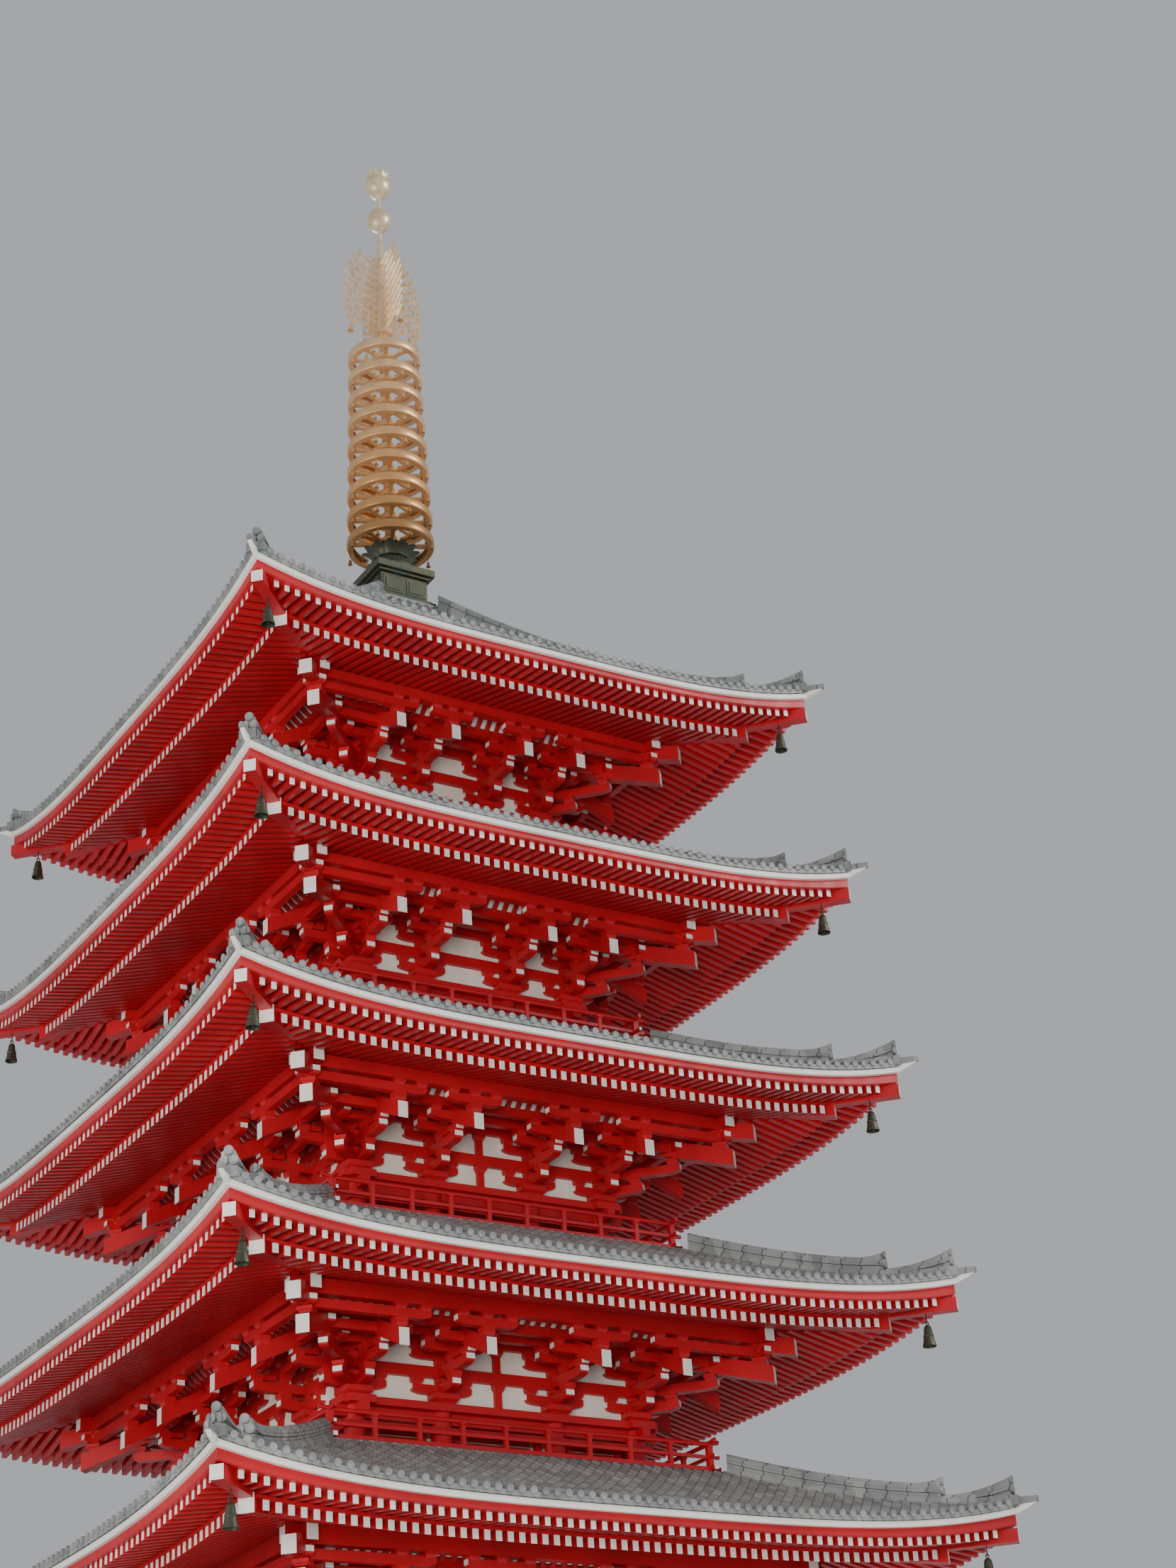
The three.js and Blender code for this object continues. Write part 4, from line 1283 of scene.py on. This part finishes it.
def stairs():
    """A flight on each side: five steps of three stones each between two sloped cheeks."""
    rise, tread, steps, clear, cheek_width = 0.25, 0.34, 5, 1.45, 0.25
    foot, face, back = 6.8, 6.66, 6.5
    out = foot + tread * steps
    slope = [(out, 0.0), (out, 0.28), (face, PODIUM_HEIGHT), (back, PODIUM_HEIGHT), (back, PLINTH_HEIGHT),
             (foot, PLINTH_HEIGHT), (foot, 0.0)]
    cheek = slab(slope, cheek_width)
    for quarter, name in enumerate(("front", "right", "back", "left")):
        seed = random.Random(20 + quarter)
        side = bmesh.new()
        for step in range(steps):
            nose = out - tread * step
            inner = nose - tread - 0.1 if step < steps - 1 else back + 0.01
            for xs in ((-clear, -0.5), (-0.5, 0.45), (0.45, clear)):
                stone(side, xs, (inner, nose), (rise * step, rise * (step + 1)), seed)
        for x in about(0, clear + cheek_width / 2):
            place(side, cheek, at(x, 0, 0) @ OUTWARD)
        box(side, about(0, clear), (foot + 0.02, foot + 0.3), (0.0, 1.2))
        whole = bmesh.new()
        place(whole, stock(side), Matrix.Rotation((quarter + 2) * QUARTER, 4, "Z"))
        normals_out(whole)
        piece(f"{name}_flight", whole, (GRANITE,), "granite", f"{name}_steps")


# The finial

BOX_FOOT, BOX_TOP = 33.21, 34.3
SHAFT, SHAFT_TOP = 0.13, 42.15
FLAME_HALF = 1.2
FLAME_FOOT, FLAME_TOP = 42.1, 44.8
NECK = 45.32


def dew_basin():
    """A square box with a moulded foot and cap, and two raised panels on each side."""
    bm = bmesh.new()
    low, high = BOX_FOOT, BOX_TOP
    layers = ((0.82, low, low + 0.1), (0.74, low + 0.1, low + 0.18), (0.66, low + 0.18, high - 0.28),
              (0.74, high - 0.28, high - 0.2), (0.82, high - 0.2, high))
    for half, z0, z1 in layers:
        block = bmesh.new()
        size = sized(2 * half, 2 * half, z1 - z0)
        bmesh.ops.create_cube(block, size=1, matrix=at(0, 0, (z0 + z1) / 2) @ size)
        soften(block, 0.015, 2)
        place(bm, stock(block))
    side = bmesh.new()
    for x in about(0, 0.33):
        for half, face, inset in ((0.27, 0.675, 0.26), (0.2, 0.69, 0.33)):
            box(side, about(x, half), (0.64, face), (low + inset, high - inset - 0.1))
    place(bm, stock(four_sides(side)))
    piece("dew_basin_cast", bm, (DARK_BRONZE,), "dark_bronze", "dew_basin")


def petal(length, width, thickness):
    """A cupped lotus petal that leans outward along +Y."""
    bm = bmesh.new()
    bmesh.ops.create_grid(bm, x_segments=4, y_segments=5, size=1)
    for corner in bm.verts:
        across, up = corner.co.x, (corner.co.y + 1) / 2
        half = width / 2 * math.sin(math.pi * (0.18 + 0.74 * up)) ** 0.7
        cup = (1 - across * across) * 0.15 * width
        corner.co = (across * half, length * up ** 1.4 * 0.75 + cup, length * (up - 0.35 * up * up))
    bmesh.ops.solidify(bm, geom=bm.faces, thickness=thickness)
    normals_out(bm)
    return stock(bm)


def petals(bm, mesh, count, offset, out, height, lean=0.0):
    """A ring of petals round the axis."""
    spot = at(0, out, height) @ Matrix.Rotation(lean, 4, "X")
    for turn in turns(count, offset):
        place(bm, mesh, turn @ spot)


def bowl_and_lotus():
    base, rim, top = BOX_TOP, 34.86, 35.07
    bowl = [(0, 0), (0.64, 0), (0.66, 0.05), (0.65, 0.2), (0.6, 0.33), (0.5, 0.44), (0.36, 0.52),
            (0.3, 0.54), (0.3, 0.6), (0.35, 0.63), (0.2, top - base), (0, top - base)]
    bm = spun([(r, base + z) for r, z in bowl], 32)
    torus(bm, (0, 0, base + 0.24), 0.645, 0.025, segments=32)
    petals(bm, petal(0.38, 0.34, 0.02), 12, 0, 0.42, rim - 0.02)
    petals(bm, petal(0.34, 0.3, 0.02), 12, 0.5, 0.32, rim + 0.04)
    piece("bowl_and_lotus_cast", bm, (DARK_BRONZE,), "dark_bronze", "bowl_and_lotus", smooth=40)


def small_bell():
    body = [(0, 0), (0.03, -0.01), (0.04, -0.05), (0.05, -0.12), (0.062, -0.15), (0.05, -0.15),
            (0.03, -0.06), (0, -0.03)]
    bm = spun(body, 8)
    rod(bm, (0, 0, -0.01), (0, 0, 0.08), 0.008, 4)
    return stock(bm)


def wheel(radius):
    """An open wheel: a broad rim, a hub ring and eight spokes that widen outward."""
    half, inner = 0.12, radius - 0.16
    profile = [(inner, -half), (radius - 0.02, -half), (radius, -half + 0.03), (radius, half - 0.03),
               (radius - 0.02, half), (inner, half), (inner, half - 0.04), (radius - 0.04, half - 0.06),
               (radius - 0.04, -half + 0.06), (inner, -half + 0.04), (inner, -half)]
    bm = spun(profile, 40)
    hub = [(0.2, -0.09), (0.36, -0.07), (0.36, 0.07), (0.2, 0.09), (0.2, -0.09)]
    place(bm, stock(spun(hub, 24)))
    spoke = slab([(-0.035, 0.3), (0.035, 0.3), (0.075, inner + 0.03), (-0.075, inner + 0.03)], 0.07)
    for turn in turns(8, 0.5):
        place(bm, spoke, turn @ FACE_OUT @ Matrix.Scale(-1, 4, (0, 0, 1)))
    normals_out(bm)
    return stock(bm)


def nine_rings():
    """Nine wheels on the shaft, which narrow upward, each with a sleeve and eight small bells."""
    low, high, count = 35.32, 41.2, 9
    wide, narrow = 1.13, 0.97
    bm = spun([(0, 35.05), (SHAFT, 35.05), (SHAFT, SHAFT_TOP), (0, SHAFT_TOP)], 16)
    bell = small_bell()
    for i in range(count):
        share = i / (count - 1)
        level = low + (high - low) * share
        radius = wide + (narrow - wide) * share
        place(bm, wheel(radius), at(0, 0, level))
        sleeve = ((SHAFT, -0.28), (0.17, -0.24), (0.2, -0.1), (0.2, 0.1), (0.17, 0.24), (SHAFT, 0.28))
        place(bm, stock(spun([(r, level + z) for r, z in sleeve], 16)))
        for x, y in arc((0, 0), (radius - 0.03, radius - 0.03), 0, 360, 8)[:-1]:
            place(bm, bell, at(x, y, level - 0.2))
    piece("nine_rings_cast", bm, (GILT,), "gilt_bronze", "nine_rings", smooth=40)


def flame_half(share):
    """The flame's reach from the shaft, by its share of the height."""
    edge = ((0, 0.84), (0.12, 0.98), (0.48, 1.0), (0.72, 0.92), (0.96, 0.64), (1.0, 0.5))
    for (a, wa), (b, wb) in zip(edge, edge[1:]):
        if share <= b:
            return wa + (wb - wa) * (share - a) / (b - a)
    return edge[-1][1]


def twig(bm, points, size):
    """A bar that tapers outward through points of (reach, height)."""
    fall = 0.55 / (len(points) - 1)
    for i, (start, end) in enumerate(zip(points, points[1:])):
        rod(bm, (0, *start), (0, *end), size * (1 - fall * i), 4, size * (1 - fall * (i + 1)))


def flame_twig(vane, seed, base, low, high):
    """One twig of a vane, curved up to the vane's edge, with barbs along it."""
    points = []
    for t in (0, 0.25, 0.5, 0.75, 1):
        z = base + 0.5 * t ** 1.4 + 0.03
        if low < z < high:
            reach = FLAME_HALF * flame_half((z - low) / (high - low))
            if t == 1:
                reach *= seed.uniform(0.95, 1.0)
            points.append((0.06 + (reach - 0.06) * t, z))
    if len(points) < 2:
        return
    twig(vane, points, 0.085)
    for (d0, z0), (d1, z1) in zip(points, points[1:]):
        for t in (seed.uniform(0.1, 0.4), seed.uniform(0.6, 0.9)):
            d, z = d0 + (d1 - d0) * t, z0 + (z1 - z0) * t
            tip = (d + seed.uniform(-0.02, 0.06), z + 0.19 * seed.uniform(0.7, 1.1))
            if tip[1] < high:
                twig(vane, [(d, z), (d - 0.01, (z + tip[1]) / 2), tip], 0.05)


def water_flame():
    """Four vanes of branching twigs that rise from the shaft."""
    seed = random.Random(11)
    low, high, pitch = FLAME_FOOT, FLAME_TOP, 0.26
    vane = bmesh.new()
    for i in range(-3, round((high - low) / pitch)):
        flame_twig(vane, seed, low + pitch * i, low, high)
    vane = stock(vane)
    shaft = [(0, low - 0.05), (0.26, low - 0.05), (0.24, low + 0.1), (0.09, high), (0.08, NECK), (0, NECK)]
    bm = spun(shaft, 12)
    bell = small_bell()
    for turn in turns(4):
        place(bm, vane, turn)
        place(bm, bell, turn @ at(0, 0.98, low + 0.02) @ Matrix.Scale(1.5, 4))
    piece("water_flame_cast", bm, (GILT,), "gilt_bronze", "water_flame", smooth=40)


def balls():
    """The ball and the jewel on their necks, with tongues of flame and a crown on the jewel."""
    ball = arc((0, 46.02), (0.33, 0.36), -68, 60, 14)
    jewel = arc((0, 47.22), (0.35, 0.35), -60, 84, 14)
    foot = [(0, 45.3), (0.07, 45.3), (0.055, 45.64), (0.12, 45.67)]
    neck = [(0.14, 46.37), (0.06, 46.45), (0.05, 46.78), (0.12, 46.85), (0.2, 46.9)]
    bm = spun(foot + ball + neck + jewel + [(0, 47.6)], 32)
    petals(bm, petal(0.26, 0.17, 0.015), 10, 0, 0.24, 47.36, 0.55)
    petals(bm, petal(0.3, 0.14, 0.015), 5, 0.5, 0.06, 47.44, 0.5)
    piece("jewel_and_ball_cast", bm, (GILT,), "gilt_bronze", "dragon_ball_and_jewel", smooth=40)


# The walls keep their solids and take the plaster

def keep_walls():
    for s in STOREYS:
        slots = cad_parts[f"walls_{s.number}"].data.materials
        slots.clear()
        slots.append(PLASTER_WALL)


# Camera, lights and floor, in metres of the model

CAMERA_PLACE = (-14.27, -26.11, -1.70)
CAMERA_YAW, CAMERA_PITCH, CAMERA_ROLL = 33.146, 27.861, -4.088
LENS_MM, SENSOR_MM = 62.63, 36


def camera():
    data = bpy.data.cameras.new("camera")
    data.sensor_fit = "VERTICAL"
    data.sensor_height = SENSOR_MM
    data.lens = LENS_MM
    data.clip_end = 400
    yaw, pitch, roll = (math.radians(a) for a in (CAMERA_YAW, CAMERA_PITCH, CAMERA_ROLL))
    forward = Vector((math.sin(yaw) * math.cos(pitch), math.cos(yaw) * math.cos(pitch), math.sin(pitch)))
    level = Vector((math.cos(yaw), -math.sin(yaw), 0))
    upward = level.cross(forward)
    right = math.cos(roll) * level + math.sin(roll) * upward
    up = math.cos(roll) * upward - math.sin(roll) * level
    matrix = Matrix((right, up, -forward)).transposed().to_4x4()
    matrix.translation = CAMERA_PLACE
    made = added("camera", data)
    made.matrix_world = matrix
    bpy.context.scene.camera = made


def soft_light(name, place_at, target, size, power, colour=(1, 1, 1), glossy=True):
    data = bpy.data.lights.new(name, "AREA")
    data.shape = "DISK"
    data.size = size
    data.energy = power
    data.color = colour
    made = added(name, data)
    made.location = place_at
    made.rotation_euler = (Vector(target) - Vector(place_at)).to_track_quat("-Z", "Y").to_euler()
    made.visible_glossy = glossy


def studio():
    world = bpy.data.worlds.new("studio")
    world.use_nodes = True
    background = world.node_tree.nodes["Background"]
    background.inputs["Color"].default_value = (0.80, 0.83, 0.88, 1)
    background.inputs["Strength"].default_value = 0.55
    bpy.context.scene.world = world
    soft_light("front_low", (-16, -26, 2.5), (0, 0, 11), 12, 5200, (1.0, 0.95, 0.9), glossy=False)
    soft_light("left_low", (-28, -6, 3), (0, 0, 12), 18, 3200, (1.0, 0.96, 0.92))
    soft_light("right_high", (20, -22, 26), (0, 0, 12), 14, 5200)
    soft_light("back_high", (8, 28, 24), (0, 0, 12), 14, 3600)
    floor = bmesh.new()
    bmesh.ops.create_circle(floor, cap_ends=True, segments=96, radius=18)
    bmesh.ops.translate(floor, vec=(0, 0, -0.002), verts=floor.verts)
    made = added("floor", stock(floor))
    f = Finish("floor_paper")
    made.data.materials.append(f.finish(f.mix(f.noise(0.4), (0.72, 0.72, 0.71), (0.76, 0.76, 0.75))))
    f.fixed(Roughness=0.9)


def storey(s, bell, disc, lip):
    rafters(s)
    eaves(s)
    bells(s, bell)
    roof_tiles(s, disc, lip)
    ridges(s, disc)
    brackets(s)
    columns(s)
    doors_and_windows(s)
    if s.number > 1:
        balcony(s)


camera()
studio()
podium()
stairs()
parts = wind_bell(), tile_disc(), drip_lip()
for s in STOREYS:
    storey(s, *parts)
dew_basin()
bowl_and_lotus()
nine_rings()
water_flame()
balls()
keep_walls()

bpy.context.view_layer.update()
